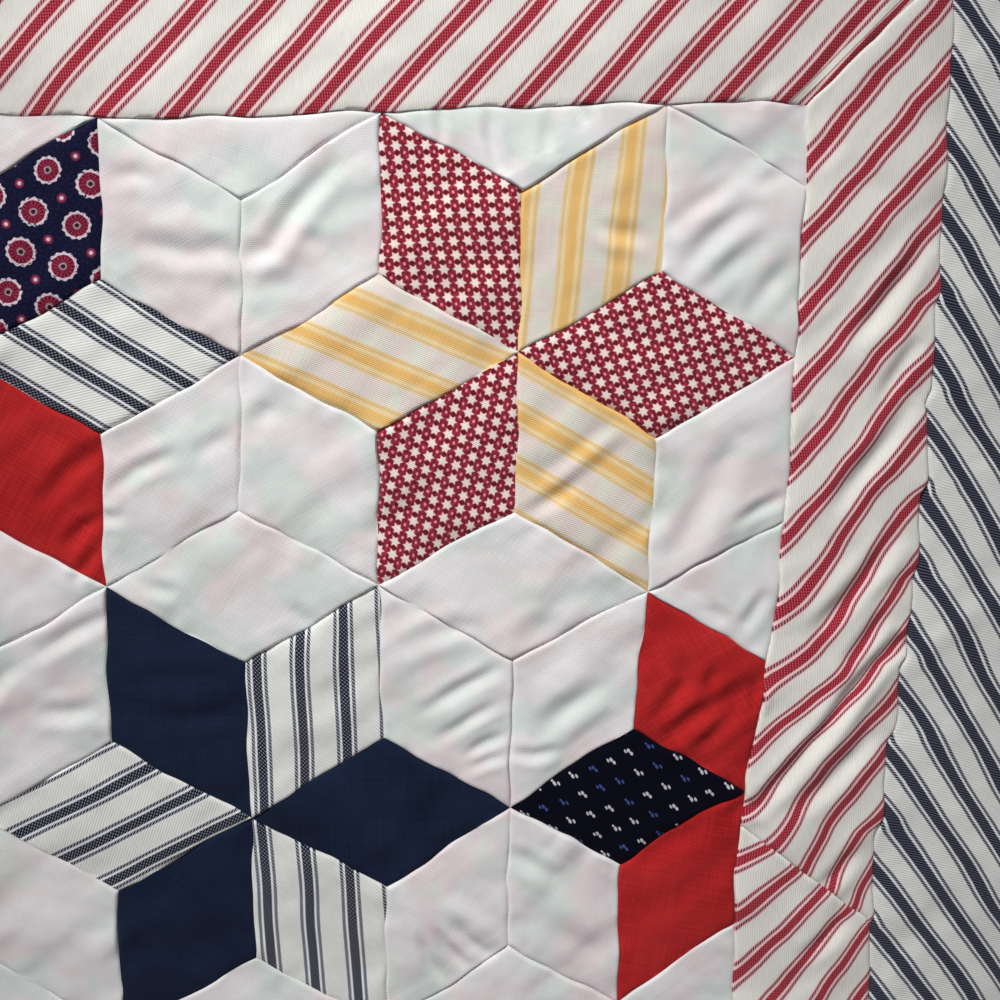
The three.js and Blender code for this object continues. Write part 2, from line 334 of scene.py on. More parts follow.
@dataclass
class Relief:
    """The heights that all the cloth shares: its creases and its soft unevenness."""

    plan: QuiltPlan = PLAN
    shown_low: tuple = (-170.0, -235.0)
    shown_high: tuple = (185.0, 125.0)
    crease_strength: float = 1.5
    folds: list = field(default_factory=list)

    def __post_init__(self) -> None:
        """Gathers the creases that show, and lays seeded ones over the rest of the quilt."""
        self.folds = [*WHITE_FOLDS, *COLOUR_FOLDS, *BORDER_PUCKERS, DEEP_PUCKER, DEEP_PUCKER_SHADE]
        self.folds += [*MITRE_FOLDS, *self.seeded_patch_folds(), *self.seeded_border_puckers()]
        self.boxes = np.array([np.concatenate(fold.box()) for fold in self.folds])

    def is_shown(self, place: np.ndarray) -> bool:
        """Whether a place, from the corner star's middle, lies in the stretch with the listed creases."""
        return bool(np.all(place > self.shown_low) and np.all(place < self.shown_high))

    def seeded_patch_folds(self) -> list:
        """Two creases or so for each patch of the field beyond the listed ones."""
        chance = np.random.default_rng(2024)
        step = 33.0
        made = []
        for across in np.arange(-self.plan.half_width, self.plan.half_width, step):
            for up in np.arange(-self.plan.half_height, self.plan.half_height, step):
                place = np.array([across, up]) + chance.uniform(0.0, step, 2) - self.plan.corner_star
                turn = chance.normal(40.0, 38.0)
                length, depth = chance.uniform(14, 34), chance.uniform(0.3, 0.85)
                width = chance.uniform(2.0, 4.2)
                bend = chance.normal(0.0, 0.12) * length
                if self.is_shown(place):
                    continue
                half = direction(turn) * length / 2.0
                middle = place + direction(turn + 90.0) * bend
                made.append(Fold((tuple(place - half), tuple(middle), tuple(place + half)), -depth, width))
        return made

    def seeded_border_puckers(self) -> list:
        """Puckers about every 34 mm along the seam between the borders, leaning with the stripes."""
        chance = np.random.default_rng(77)
        seam = np.array([self.plan.half_width, self.plan.half_height]) + self.plan.red_border
        made = []
        sides = ((0, 1), (0, -1), (1, 1), (1, -1))
        for axis, sign in sides:
            along = -seam[1 - axis] + 12.0
            while along < seam[1 - axis] - 12.0:
                place = np.zeros(2)
                place[axis] = sign * seam[axis]
                place[1 - axis] = along
                turn = chance.normal(52.0, 7.0) + (180.0 if sign > 0 else 0.0)
                length, depth = chance.uniform(16.0, 36.0), chance.uniform(0.5, 1.15)
                place = place - self.plan.corner_star
                along += chance.uniform(26.0, 42.0)
                if self.is_shown(place) or (axis == 1 and sign > 0 and -170.0 < place[0] < 130.0):
                    continue
                inward = direction(turn)
                middle = place + inward * length * 0.5 + direction(turn + 90.0) * chance.normal(0.0, 1.5)
                made.append(Fold((tuple(place), tuple(middle), tuple(place + inward * length)), -depth, 2.7))
        return made

    def creases(self, x: np.ndarray, y: np.ndarray) -> np.ndarray:
        """The sum of the creases near each place."""
        low, high = np.array([x.min(), y.min()]), np.array([x.max(), y.max()])
        near = np.all(self.boxes[:, :2] < high, axis=1) & np.all(self.boxes[:, 2:] > low, axis=1)
        total = np.zeros(x.shape)
        for index in np.flatnonzero(near):
            total += self.folds[index].height(x, y)
        return self.crease_strength * total

    def unevenness(self, x: np.ndarray, y: np.ndarray) -> np.ndarray:
        """Soft hills 31 and 14 mm across, drag lines 9 mm across that run up to the right, and crumples."""
        lean = math.radians(38.0)
        along = x * math.cos(lean) + y * math.sin(lean) + 5.0 * soft_noise(x, y, 40.0, 9)
        across = y * math.cos(lean) - x * math.sin(lean) + 4.0 * soft_noise(x, y, 33.0, 8)
        drag = soft_noise(across, along * 0.30, 8.5, 4)
        cross_drag = soft_noise(along, across * 0.35, 10.0, 5)
        return (
            0.42 * soft_noise(x, y, 31.0, 1)
            + 0.38 * soft_noise(x + 0.4 * y, y, 14.0, 2)
            + 0.52 * drag
            + 0.26 * cross_drag
            + 0.08 * soft_noise(x, y, 4.4, 3)
        )

    def ripple(self, x: np.ndarray, y: np.ndarray) -> np.ndarray:
        """The long waves of the whole quilt, 0.45 mm high."""
        return 0.45 * np.sin((x + 0.7 * y) / 15.0 + 0.5) * np.sin((y - 0.4 * x) / 41.0)


RELIEF = Relief()


@dataclass(frozen=True)
class SewnLayout:
    """Where each drawn place ends up once it is sewn."""

    plan: QuiltPlan = PLAN
    hem_wave: float = 1.2
    hem_wave_length: float = 190.0
    pucker_step: float = 1.9
    step_fade: float = 12.0
    step_reach: float = 9.0
    long_bow: float = 0.42
    short_bow: float = 0.22
    stray: float = 0.14

    def hem_share(self, away: np.ndarray, hem: float) -> np.ndarray:
        """How near a place is to the hem: 0 at the navy border's inner seam, 1 at the hem, squared."""
        inner = hem - self.plan.navy_border
        return np.clip((np.abs(away) - inner) / self.plan.navy_border, 0.0, None) ** 2

    def seam_steps(self, x: np.ndarray, y: np.ndarray) -> np.ndarray:
        """The scallops of the seam between the borders at the right.

        Between two puckers the seam drifts outward by pucker_step, and at each it steps back in. The
        drift fades over 9 mm to both sides of the seam.
        """
        seam = self.plan.half_width + self.plan.red_border
        drops = np.array(PUCKER_SEAM_DROPS)[::-1] + self.plan.corner_star[1] - 2.0
        index = np.clip(np.searchsorted(drops, y) - 1, 0, len(drops) - 2)
        share = np.clip((y - drops[index]) / (drops[index + 1] - drops[index]), 0.0, 1.0)
        saw = np.where(share < 0.85, 0.5 - share / 0.85, -0.5 + (share - 0.85) / 0.15)
        above_first = smooth_step(y, drops[0], drops[0] + self.step_fade)
        inside = above_first * (1.0 - smooth_step(y, drops[-1] - self.step_fade, drops[-1]))
        return self.pucker_step * saw * inside * np.exp(-(((x - seam) / self.step_reach) ** 2))

    def place(self, x: np.ndarray, y: np.ndarray) -> tuple:
        """Moves drawn places to sewn ones.

        A gentle wave runs along the hem, nine smooth pushes draw each corner out of true, and short
        waves of 43, 20 and 9 mm bow the seams.

        Args:
            x: Drawn places along X.
            y: Drawn places along Y.

        Returns:
            The sewn x and y.
        """
        hem = self.plan.hem()
        wave = 2.0 * np.pi / self.hem_wave_length
        sewn_x = x + self.hem_wave * np.sin(wave * y) * self.hem_share(x, hem[0])
        sewn_y = y + self.hem_wave * np.sin(wave * x) * self.hem_share(y, hem[1])
        star = self.plan.corner_star
        for sign_x, sign_y, strength in PUSHED_CORNERS:
            for push in PUSHES:
                middle_x = sign_x * (star[0] + push.right * self.plan.patch_side)
                middle_y = sign_y * (star[1] + push.up * self.plan.patch_side)
                reach = ((x - middle_x) ** 2 + (y - middle_y) ** 2) / (2.0 * PUSH_REACH**2)
                bell = strength * np.exp(-reach)
                sewn_x = sewn_x + bell * sign_x * push.push_x
                sewn_y = sewn_y + bell * sign_y * push.push_y
        stray_x, stray_y = self.stray * soft_noise(x, y, 4.5, 11), self.stray * soft_noise(x, y, 4.5, 12)
        sewn_x = sewn_x + self.long_bow * np.sin(0.145 * y + 1.3 * np.sin(0.061 * x + 0.5))
        sewn_x = sewn_x + self.short_bow * np.sin(0.31 * y + 0.17 * x + 2.1) + stray_x
        sewn_y = sewn_y + self.long_bow * np.sin(0.152 * x + 1.1 + 1.2 * np.sin(0.057 * y))
        sewn_y = sewn_y + self.short_bow * np.sin(0.29 * x - 0.19 * y + 0.7) + stray_y
        return sewn_x + self.seam_steps(x, y), sewn_y


LAYOUT = SewnLayout()


# Cloths


def operator_of(operation: str, reflected: bool = False) -> object:
    """The method of a Python operator: one Math node on self and the other term, or the other first."""

    def method(value: "Value", other: object) -> "Value":
        """Adds the node."""
        terms = (other, value) if reflected else (value, other)
        return value.graph.math(operation, *terms)

    return method


class Value:
    """A number that changes over a surface: a shader socket that Python's operators work on."""

    __add__, __radd__ = operator_of("ADD"), operator_of("ADD", True)
    __sub__, __rsub__ = operator_of("SUBTRACT"), operator_of("SUBTRACT", True)
    __mul__, __rmul__ = operator_of("MULTIPLY"), operator_of("MULTIPLY", True)
    __truediv__, __rtruediv__ = operator_of("DIVIDE"), operator_of("DIVIDE", True)
    __pow__ = operator_of("POWER")

    def __init__(self, graph: "Graph", socket: bpy.types.NodeSocket) -> None:
        """Wraps a socket of the graph's node tree."""
        self.graph = graph
        self.socket = socket

    def math(self, operation: str, *others: object) -> "Value":
        """This value and others through one Math node."""
        return self.graph.math(operation, self, *others)

    def __neg__(self) -> "Value":
        """-self."""
        return self.math("MULTIPLY", -1.0)

    def __abs__(self) -> "Value":
        """|self|."""
        return self.math("ABSOLUTE")

    def sine(self, wave: float, shift: float = 0.0) -> "Value":
        """sin(2 pi self / wave + shift)."""
        return (self * (2.0 * math.pi / wave) + shift).math("SINE")

    def least(self, other: object) -> "Value":
        """The smaller of self and other."""
        return self.math("MINIMUM", other)

    def most(self, other: object) -> "Value":
        """The larger of self and other."""
        return self.math("MAXIMUM", other)

    def saw(self, size: float) -> "Value":
        """The distance from the middle of the cell of this size that self is in, from -size/2 to size/2."""
        return self - self.cell(size) * size

    def cell(self, size: float) -> "Value":
        """The whole number of the nearest multiple of size."""
        return (self / size + 0.5).math("FLOOR")

    def rise(self, low: float, high: float) -> "Value":
        """0 below low and 1 above high, with a smooth step between them."""
        return self.graph.rise(self, low, high)

    def fall(self, low: float, high: float) -> "Value":
        """1 below low and 0 above high, with a smooth step between them."""
        return 1.0 - self.rise(low, high)


class Graph:
    """One material's node tree, with short ways to add to it."""

    def __init__(self, material: bpy.types.Material) -> None:
        """Starts an empty tree in the material."""
        material.use_nodes = True
        self.tree = material.node_tree
        self.tree.nodes.clear()

    def node(self, kind: str, settings: dict | None = None, **sockets: object) -> bpy.types.Node:
        """Adds a node.

        Args:
            kind: The node's type, without its ShaderNode prefix.
            settings: Its own properties, set first.
            **sockets: Values or links for its sockets, by name, with _ for a space, or by in0, in1.

        Returns:
            The node.
        """
        made = self.tree.nodes.new("ShaderNode" + kind)
        for name, value in (settings or {}).items():
            setattr(made, name, value)
        for name, value in sockets.items():
            whole = name[2:].isdigit() and name.startswith("in")
            socket = made.inputs[int(name[2:])] if whole else made.inputs[name.replace("_", " ")]
            self.feed(socket, value)
        return made

    def feed(self, socket: bpy.types.NodeSocket, value: object) -> None:
        """Links a value's socket to another, or sets a plain number or colour on it."""
        if isinstance(value, Value):
            value = value.socket
        if isinstance(value, bpy.types.NodeSocket):
            self.tree.links.new(value, socket)
        else:
            socket.default_value = value

    def math(self, operation: str, *terms: object) -> Value:
        """A Math node on the given terms."""
        sockets = {f"in{index}": term for index, term in enumerate(terms)}
        return Value(self, self.node("Math", {"operation": operation}, **sockets).outputs[0])

    def rise(self, value: object, low: float, high: float) -> Value:
        """A smooth step of a value from 0 at low to 1 at high."""
        kind = {"interpolation_type": "SMOOTHSTEP"}
        made = self.node("MapRange", kind, Value=value, From_Min=low, From_Max=high)
        return Value(self, made.outputs[0])

    def mix(self, share: object, first: object, second: object) -> bpy.types.NodeSocket:
        """The colour first where share is 0 and second where it is 1."""
        made = self.node("Mix", {"data_type": "RGBA"}, in0=share)
        self.feed(made.inputs[6], first)
        self.feed(made.inputs[7], second)
        return made.outputs[2]

    def shade(self, colour: object, share: Value) -> bpy.types.NodeSocket:
        """A colour times a grey value."""
        grey = self.node("CombineColor", None, Red=share, Green=share, Blue=share).outputs[0]
        made = self.node("Mix", {"data_type": "RGBA", "blend_type": "MULTIPLY"}, in0=1.0)
        self.feed(made.inputs[6], colour)
        self.feed(made.inputs[7], grey)
        return made.outputs[2]

    def vector(self, x: object, y: object, z: object = 0.0) -> bpy.types.NodeSocket:
        """A vector of three values."""
        return self.node("CombineXYZ", None, X=x, Y=y, Z=z).outputs[0]

    def noise(self, vector: object, size: float, detail: float = 2.0) -> Value:
        """Noise from 0 to 1 in lumps of about this size."""
        settings = {"normalize": True}
        made = self.node("TexNoise", settings, Vector=vector, Scale=1.0 / size, Detail=detail, Roughness=0.55)
        return Value(self, made.outputs[0])

    def chance(self, x: object, y: object) -> Value:
        """A random number from 0 to 1 for each whole x and y."""
        return Value(self, self.node("TexWhiteNoise", None, Vector=self.vector(x, y)).outputs[0])

    def cloth_place(self) -> tuple:
        """The place in the cloth, in mm, across the warp and along it."""
        spot = self.node("UVMap", {"uv_map": CLOTH_MAP}).outputs[0]
        parts = self.node("SeparateXYZ", None, Vector=spot)
        return Value(self, parts.outputs[0]), Value(self, parts.outputs[1])

    def quilt_place(self) -> bpy.types.NodeSocket:
        """The place on the whole quilt, in mm."""
        spot = self.node("TexCoord").outputs["Object"]
        made = self.node("VectorMath", {"operation": "SCALE"}, Vector=spot, Scale=1.0 / MM)
        return made.outputs[0]


@dataclass(frozen=True)
class ClothFinish:
    """A matt cotton cloth. Its own paint method gives its colour and the height of its threads."""

    name: str
    roughness: float = 0.92
    sheen: float = 0.12
    thread: float = 0.42
    thread_depth: float = 0.05
    tone_change: float = 0.06

    def weave(self, u: Value, v: Value) -> Value:
        """Plain weave, from -1 to 1: sin(2 pi u / 2t) * sin(2 pi v / 2t), t being a thread's width."""
        return u.sine(2.0 * self.thread) * v.sine(2.0 * self.thread)

    def slubs(self, graph: Graph, u: Value, v: Value) -> Value:
        """Thick and thin threads along both ways of the cloth, about 0.5."""
        warp = graph.noise(graph.vector(u / self.thread, v / 24.0), 1.0, 1.0)
        weft = graph.noise(graph.vector(u / 24.0, v / self.thread), 1.0, 1.0)
        return (warp + weft) * 0.5

    def paint(self, graph: Graph, u: Value, v: Value) -> tuple:
        """The colour and the threads' height in mm."""
        raise NotImplementedError

    def material(self) -> bpy.types.Material:
        """Builds the finish's material from its paint, with a bump of its threads."""
        made = bpy.data.materials.new(self.name)
        graph = Graph(made)
        u, v = graph.cloth_place()
        colour, height = self.paint(graph, u, v)
        tone = graph.noise(graph.quilt_place(), 37.0, 3.0)
        colour = graph.shade(colour, (tone - 0.5) * self.tone_change + 1.0)
        bump = graph.node("Bump", None, Strength=1.0, Distance=MM, Height=height)
        shader = graph.node("BsdfPrincipled", None, Roughness=self.roughness, Normal=bump.outputs[0])
        graph.feed(shader.inputs["Base Color"], colour)
        shader.inputs["Sheen Weight"].default_value = self.sheen
        shader.inputs["Sheen Roughness"].default_value = 0.6
        shader.inputs["Specular IOR Level"].default_value = 0.1
        out = graph.node("OutputMaterial")
        graph.feed(out.inputs["Surface"], shader.outputs[0])
        return made


@dataclass(frozen=True)
class Muslin(ClothFinish):
    """White plain-weave cotton with faint pink and green tints."""

    name: str = "white_muslin"
    white: tuple = (0.80, 0.785, 0.785, 1.0)
    pink: tuple = (0.79, 0.675, 0.70, 1.0)
    green: tuple = (0.675, 0.75, 0.715, 1.0)
    pink_share: float = 0.8
    green_share: float = 0.8
    tints_apart: tuple = (410.0, 90.0, 0.0)

    def paint(self, graph: Graph, u: Value, v: Value) -> tuple:
        """White, tinted over patches 30 to 60 mm wide."""
        spot = graph.quilt_place()
        pink = graph.noise(spot, 25.0, 3.0).rise(0.44, 0.62) * self.pink_share
        apart = graph.node("VectorMath", {"operation": "ADD"}, Vector=spot, in1=self.tints_apart)
        green = graph.noise(apart.outputs[0], 24.0, 3.0).rise(0.47, 0.62) * self.green_share
        colour = graph.mix(pink, self.white, self.pink)
        colour = graph.mix(green, colour, self.green)
        threads = self.slubs(graph, u, v)
        colour = graph.shade(colour, (threads - 0.5) * 0.16 + 1.0)
        return colour, self.weave(u, v) * self.thread_depth * 0.5 + threads * 0.10


@dataclass(frozen=True)
class PlainCotton(ClothFinish):
    """Dyed plain-weave cotton, whose threads take the dye unevenly."""

    dye: tuple = (0.5, 0.02, 0.02, 1.0)
    faded: tuple = (0.62, 0.06, 0.05, 1.0)
    sheen: float = 0.2

    def paint(self, graph: Graph, u: Value, v: Value) -> tuple:
        """The dye, paler where threads stand up and in worn patches."""
        threads = self.slubs(graph, u, v)
        wear = graph.noise(graph.quilt_place(), 22.0, 4.0)
        weave = self.weave(u, v)
        pale = (threads - 0.42) * 1.1 + (wear - 0.5) * 0.9 + weave * 0.16 + 0.34
        speck = graph.noise(graph.vector(u, v), 0.5, 0.0).rise(0.74, 0.82) * 0.5
        colour = graph.mix((pale + speck).most(0.0).least(1.0), self.dye, self.faded)
        return colour, weave * self.thread_depth + threads * 0.12


@dataclass(frozen=True)
class Ticking(ClothFinish):
    """Twill with woven stripes: a wide band between two thin dashed lines, on an unbleached ground."""

    repeat: float = 14.2
    wide: float = 1.52
    line_place: float = 2.8
    line_half: float = 0.54
    dash: float = 1.2
    dot_step: float = 1.5
    ground: tuple = (0.78, 0.79, 0.755, 1.0)
    gap: tuple = (0.82, 0.83, 0.88, 1.0)
    band: tuple = (0.004, 0.005, 0.016, 1.0)
    band_light: tuple = (0.36, 0.38, 0.46, 1.0)
    line: tuple = (0.007, 0.008, 0.020, 1.0)
    line_gap: tuple = (0.34, 0.35, 0.42, 1.0)
    dot_share: float = 0.75
    crossed: float = 0.55
    gap_soft: float = 0.5
    tone_change: float = 0.10

    def paint(self, graph: Graph, u: Value, v: Value) -> tuple:
        """The stripes, by the distance from the middle of the nearest band.

        Twill ribs lie at 45 degrees, where u + v is a whole number of dashes. The thin lines are notched
        once a rib, and light floats show in the wide band in rows along the ribs.
        """
        lean = (u + v) / self.dash
        tooth = lean.saw(1.0)
        ragged = tooth * 0.22 + (graph.noise(graph.vector(u, v), 1.4, 1.0) - 0.5) * 0.2
        place = abs(u.saw(self.repeat) + ragged)
        wide = place.fall(self.wide - 0.10, self.wide + 0.12)
        line = abs(place - self.line_place).fall(self.line_half - 0.12, self.line_half + 0.14)
        notch = abs(tooth).fall(0.24, 0.38)
        halo = abs(place - 2.2).fall(1.0, 2.1) * self.gap_soft
        rib = lean.sine(1.0)
        twill = graph.noise(graph.vector((u + v) / 0.7, (u - v) / 6.0), 1.0, 1.0)
        ground = graph.shade(self.ground, rib * 0.05 + (twill - 0.5) * 0.20 + 0.99)
        colour = graph.mix(halo, ground, self.gap)
        across_rib = ((u - v) / self.dot_step).sine(1.0)
        dot = ((rib + across_rib * self.crossed) / (1.0 + self.crossed)).rise(0.22, 0.66) * self.dot_share
        band = graph.mix(dot, self.band, self.band_light)
        colour = graph.mix(line * (1.0 - notch) * 0.8, colour, self.line_gap)
        colour = graph.mix(line * notch, colour, self.line)
        colour = graph.mix(wide, colour, band)
        return colour, rib * self.thread_depth * 0.6 + dot * wide * 0.04


@dataclass(frozen=True)
class YellowStripe(ClothFinish):
    """White cotton with yellow warp stripes, each of a pale, a strong, a pale and a tan run."""

    name: str = "yellow_stripe"
    repeat: float = 15.7
    white: tuple = (0.79, 0.69, 0.64, 1.0)
    green: tuple = (0.74, 0.755, 0.64, 1.0)
    pale: tuple = (0.86, 0.68, 0.38, 1.0)
    strong: tuple = (0.82, 0.48, 0.14, 1.0)
    tan: tuple = (0.74, 0.48, 0.20, 1.0)

    def paint(self, graph: Graph, u: Value, v: Value) -> tuple:
        """The runs of one repeat, streaked along the warp, on a white with greener bars of painted crease
        shade.
        """
        # The greener cross bars are painted shade of soft crosswise creases, mixed into the white.
        crease_shade_bars = graph.noise(graph.vector(u / 26.0, v / 8.0), 1.0, 1.0).rise(0.44, 0.60)
        streak = graph.noise(graph.vector(u / 0.6, v / 30.0), 1.0, 2.0)
        blur = graph.noise(graph.vector(u / 0.8, v / 3.0), 1.0, 2.0)
        place = (u + (streak - 0.5) * 1.3 + (blur - 0.5) * 0.9).saw(self.repeat)
        pale = abs(place).fall(3.3, 5.0)
        strong = abs(place + 0.1).fall(0.9, 2.5)
        tan = abs(place - 3.4).fall(0.15, 1.15)
        second = abs(place + 3.5).fall(0.1, 0.95)
        white = graph.mix(crease_shade_bars * 0.75, self.white, self.green)
        colour = graph.mix(pale * (streak * 0.9 + 0.50).least(1.0), white, self.pale)
        colour = graph.mix((tan * 0.75).most(second * 0.6), colour, self.tan)
        colour = graph.mix(strong * (streak * 0.9 + 0.42).least(1.0), colour, self.strong)
        threads = self.slubs(graph, u, v)
        weave = self.weave(u, v)
        colour = graph.shade(colour, (threads - 0.5) * 0.30 + weave * 0.04 + 1.0)
        return colour, weave * self.thread_depth + threads * 0.10


@dataclass(frozen=True)
class StarPrint(ClothFinish):
    """Burgundy cotton printed with small pale six-pointed stars, and dots between them."""

    name: str = "burgundy_star_print"
    across: float = 4.70
    along: float = 4.38
    lean: float = 0.10
    star: float = 1.94
    ground: tuple = (0.25, 0.012, 0.028, 1.0)
    deep: tuple = (0.075, 0.003, 0.009, 1.0)
    rosy: tuple = (0.46, 0.030, 0.070, 1.0)
    dot: tuple = (0.84, 0.30, 0.36, 1.0)
    rim: tuple = (0.84, 0.48, 0.48, 1.0)
    motif: tuple = (0.88, 0.76, 0.72, 1.0)
    tone_change: float = 0.2

    def paint(self, graph: Graph, u: Value, v: Value) -> tuple:
        """Stars on a leaning lattice: each is two triangles, by the greatest distance from their sides."""
        wobble = graph.noise(graph.vector(u, v), 2.2, 1.0) - 0.5
        frayed = graph.noise(graph.vector(u, v), 0.8, 1.0) - 0.5
        u = u + wobble * 0.45
        upright = u + v * self.lean
        row_v = v.saw(self.along)
        star_u = upright.saw(self.across)
        sides = [star_u * math.cos(a) + row_v * math.sin(a) for a in np.radians([0.0, 120.0, 240.0])]
        out = sides[0].most(sides[1]).most(sides[2])
        back = (-sides[0]).most(-sides[1]).most(-sides[2])
        inner = out.least(back) + frayed * 0.22
        star = inner.fall(self.star / 2.0 - 0.10, self.star / 2.0 + 0.16)
        half_u = (upright + self.across / 2.0).saw(self.across)
        half_v = (v + self.along / 2.0).saw(self.along)
        dot_far = (half_u**2.0 * 1.5 + half_v**2.0 * 0.9).math("SQRT") + frayed * 0.4
        dot = dot_far.fall(0.34, 0.66)
        mottle = graph.noise(graph.vector(u + 40.0, v), 1.5, 2.0)
        rosy = mottle.rise(0.50, 0.66) * 0.75
        spot = (star_u**2.0 + half_v**2.0).math("SQRT").fall(0.35, 1.1) * 0.8
        colour = graph.mix(rosy, self.ground, self.rosy)
        colour = graph.mix(spot.most(mottle.fall(0.34, 0.48) * 0.7), colour, self.deep)
        colour = graph.mix(dot, colour, self.dot)
        ink = graph.mix(inner.rise(self.star / 2.0 - 0.35, self.star / 2.0), self.motif, self.rim)
        colour = graph.mix(star, colour, ink)
        threads = self.slubs(graph, u, v)
        colour = graph.shade(colour, (threads - 0.5) * 0.5 + (frayed * 0.12) + 1.0)
        return colour, self.weave(u, v) * self.thread_depth + threads * 0.08


@dataclass(frozen=True)
class RingPrint(ClothFinish):
    """Navy cotton printed with red discs in scalloped white rings, and small dots between them."""

    name: str = "navy_ring_print"
    sheen: float = 0.03
    pitch: float = 13.4
    disc: float = 3.75
    ground: tuple = (0.004, 0.004, 0.022, 1.0)
    ground_light: tuple = (0.012, 0.012, 0.065, 1.0)
    red: tuple = (0.14, 0.006, 0.025, 1.0)
    red_light: tuple = (0.36, 0.035, 0.085, 1.0)
    white: tuple = (0.72, 0.60, 0.66, 1.0)

    def paint(self, graph: Graph, u: Value, v: Value) -> tuple:
        """Rings by the distance from the nearest middle, whose rim waves 15 times round."""
        near_u, near_v = u.saw(self.pitch), v.saw(self.pitch)
        size = 1.0 - graph.chance(u.cell(self.pitch), v.cell(self.pitch)) * 0.12
        far = (near_u**2.0 + near_v**2.0).math("SQRT") / size
        turn = graph.math("ARCTAN2", near_v, near_u)
        scallop = (turn * 13.0).math("SINE") * 0.22
        speckle = graph.noise(graph.vector(u, v), 0.8, 2.0)
        broken = graph.noise(graph.vector(u, v), 1.1, 1.0)
        colour = graph.mix(speckle.rise(0.45, 0.7), self.ground, self.ground_light)
        rim = (far + scallop).fall(self.disc + 0.70, self.disc + 1.0) * broken.rise(0.30, 0.46)
        colour = graph.mix(rim, colour, self.white)
        streaks = ((turn * 16.0).math("SINE") * 0.2 + speckle).rise(0.35, 0.85)
        disc = (far + (broken - 0.5) * 0.5).fall(self.disc - 0.15, self.disc + 0.12)
        colour = graph.mix(disc, colour, graph.mix(streaks, self.red, self.red_light))
        heart = abs(far - 1.0 + (broken - 0.5) * 0.7).fall(0.10, 0.42) * 0.8
        colour = graph.mix(heart, colour, (0.42, 0.36, 0.38, 1.0))
        colour = graph.mix(far.fall(0.5, 0.8) * 0.85, colour, self.ground)
        half = self.pitch / 2.0
        dot_u, dot_v = (u + half).saw(self.pitch), (v + half).saw(self.pitch)
        dot_far = (dot_u**2.0 + dot_v**2.0).math("SQRT")
        colour = graph.mix(dot_far.fall(1.0, 1.7) * 0.75, colour, self.red_light)
        colour = graph.mix(dot_far.fall(0.4, 0.8), colour, self.white)
        threads = self.slubs(graph, u, v)
        colour = graph.shade(colour, (threads - 0.5) * 0.45 + 1.0)
        return colour, self.weave(u, v) * self.thread_depth + threads * 0.08


@dataclass(frozen=True)
class DropPrint(ClothFinish):
    """Near-black navy cotton printed with clusters of three tiny drops, mostly white."""

    name: str = "navy_drop_print"
    sheen: float = 0.01
    across: float = 6.9
    along: float = 7.6
    ground: tuple = (0.0015, 0.0015, 0.008, 1.0)
    white: tuple = (0.62, 0.62, 0.66, 1.0)
    blue: tuple = (0.055, 0.085, 0.27, 1.0)
    red: tuple = (0.45, 0.08, 0.09, 1.0)
    one_way: tuple = ((-0.74, 1.20, 0.40, 0.50), (-0.28, -0.10, 0.50, 0.92), (1.04, -0.60, 0.40, 0.80))
    other_way: tuple = ((-0.90, 0.60, 0.36, 0.72), (0.18, 0.45, 0.52, 0.80), (0.80, -0.85, 0.48, 0.70))

    def drops(self, u: Value, v: Value, places: tuple) -> Value:
        """A cluster of leaning ellipses, each with its place and half sizes."""
        made = []
        for place_u, place_v, half_u, half_v in places:
            off_u = (u - place_u + (v - place_v) * 0.12) / half_u
            off_v = (v - place_v) / half_v
            made.append((off_u**2.0 + off_v**2.0).math("SQRT").fall(0.6, 1.25))
        return made[0].most(made[1]).most(made[2])

    def paint(self, graph: Graph, u: Value, v: Value) -> tuple:
        """Clusters on a lattice, in one of two layouts and one of three colours, drawn for each."""
        column, row = u.cell(self.across), v.cell(self.along)
        shaky_u = (graph.chance(column, row) - 0.5) * 0.8
        shaky_v = (graph.chance(column + 31.0, row) - 0.5) * 0.8
        near_u, near_v = u.saw(self.across) + shaky_u, v.saw(self.along) + shaky_v
        side = graph.chance(column + 11.0, row + 5.0).rise(0.55, 0.56)
        first = self.drops(near_u, near_v, self.one_way)
        second = self.drops(near_u, near_v, self.other_way)
        drops = first + (second - first) * side
        pick = graph.chance(column + 7.0, row + 3.0)
        ink = graph.mix(pick.rise(0.66, 0.67), self.white, self.blue)
        ink = graph.mix(pick.rise(0.955, 0.956), ink, self.red)
        colour = graph.mix(drops, self.ground, ink)
        threads = self.slubs(graph, u, v)
        colour = graph.shade(colour, (threads - 0.5) * 0.5 + 1.0)
        return colour, self.weave(u, v) * self.thread_depth + threads * 0.08


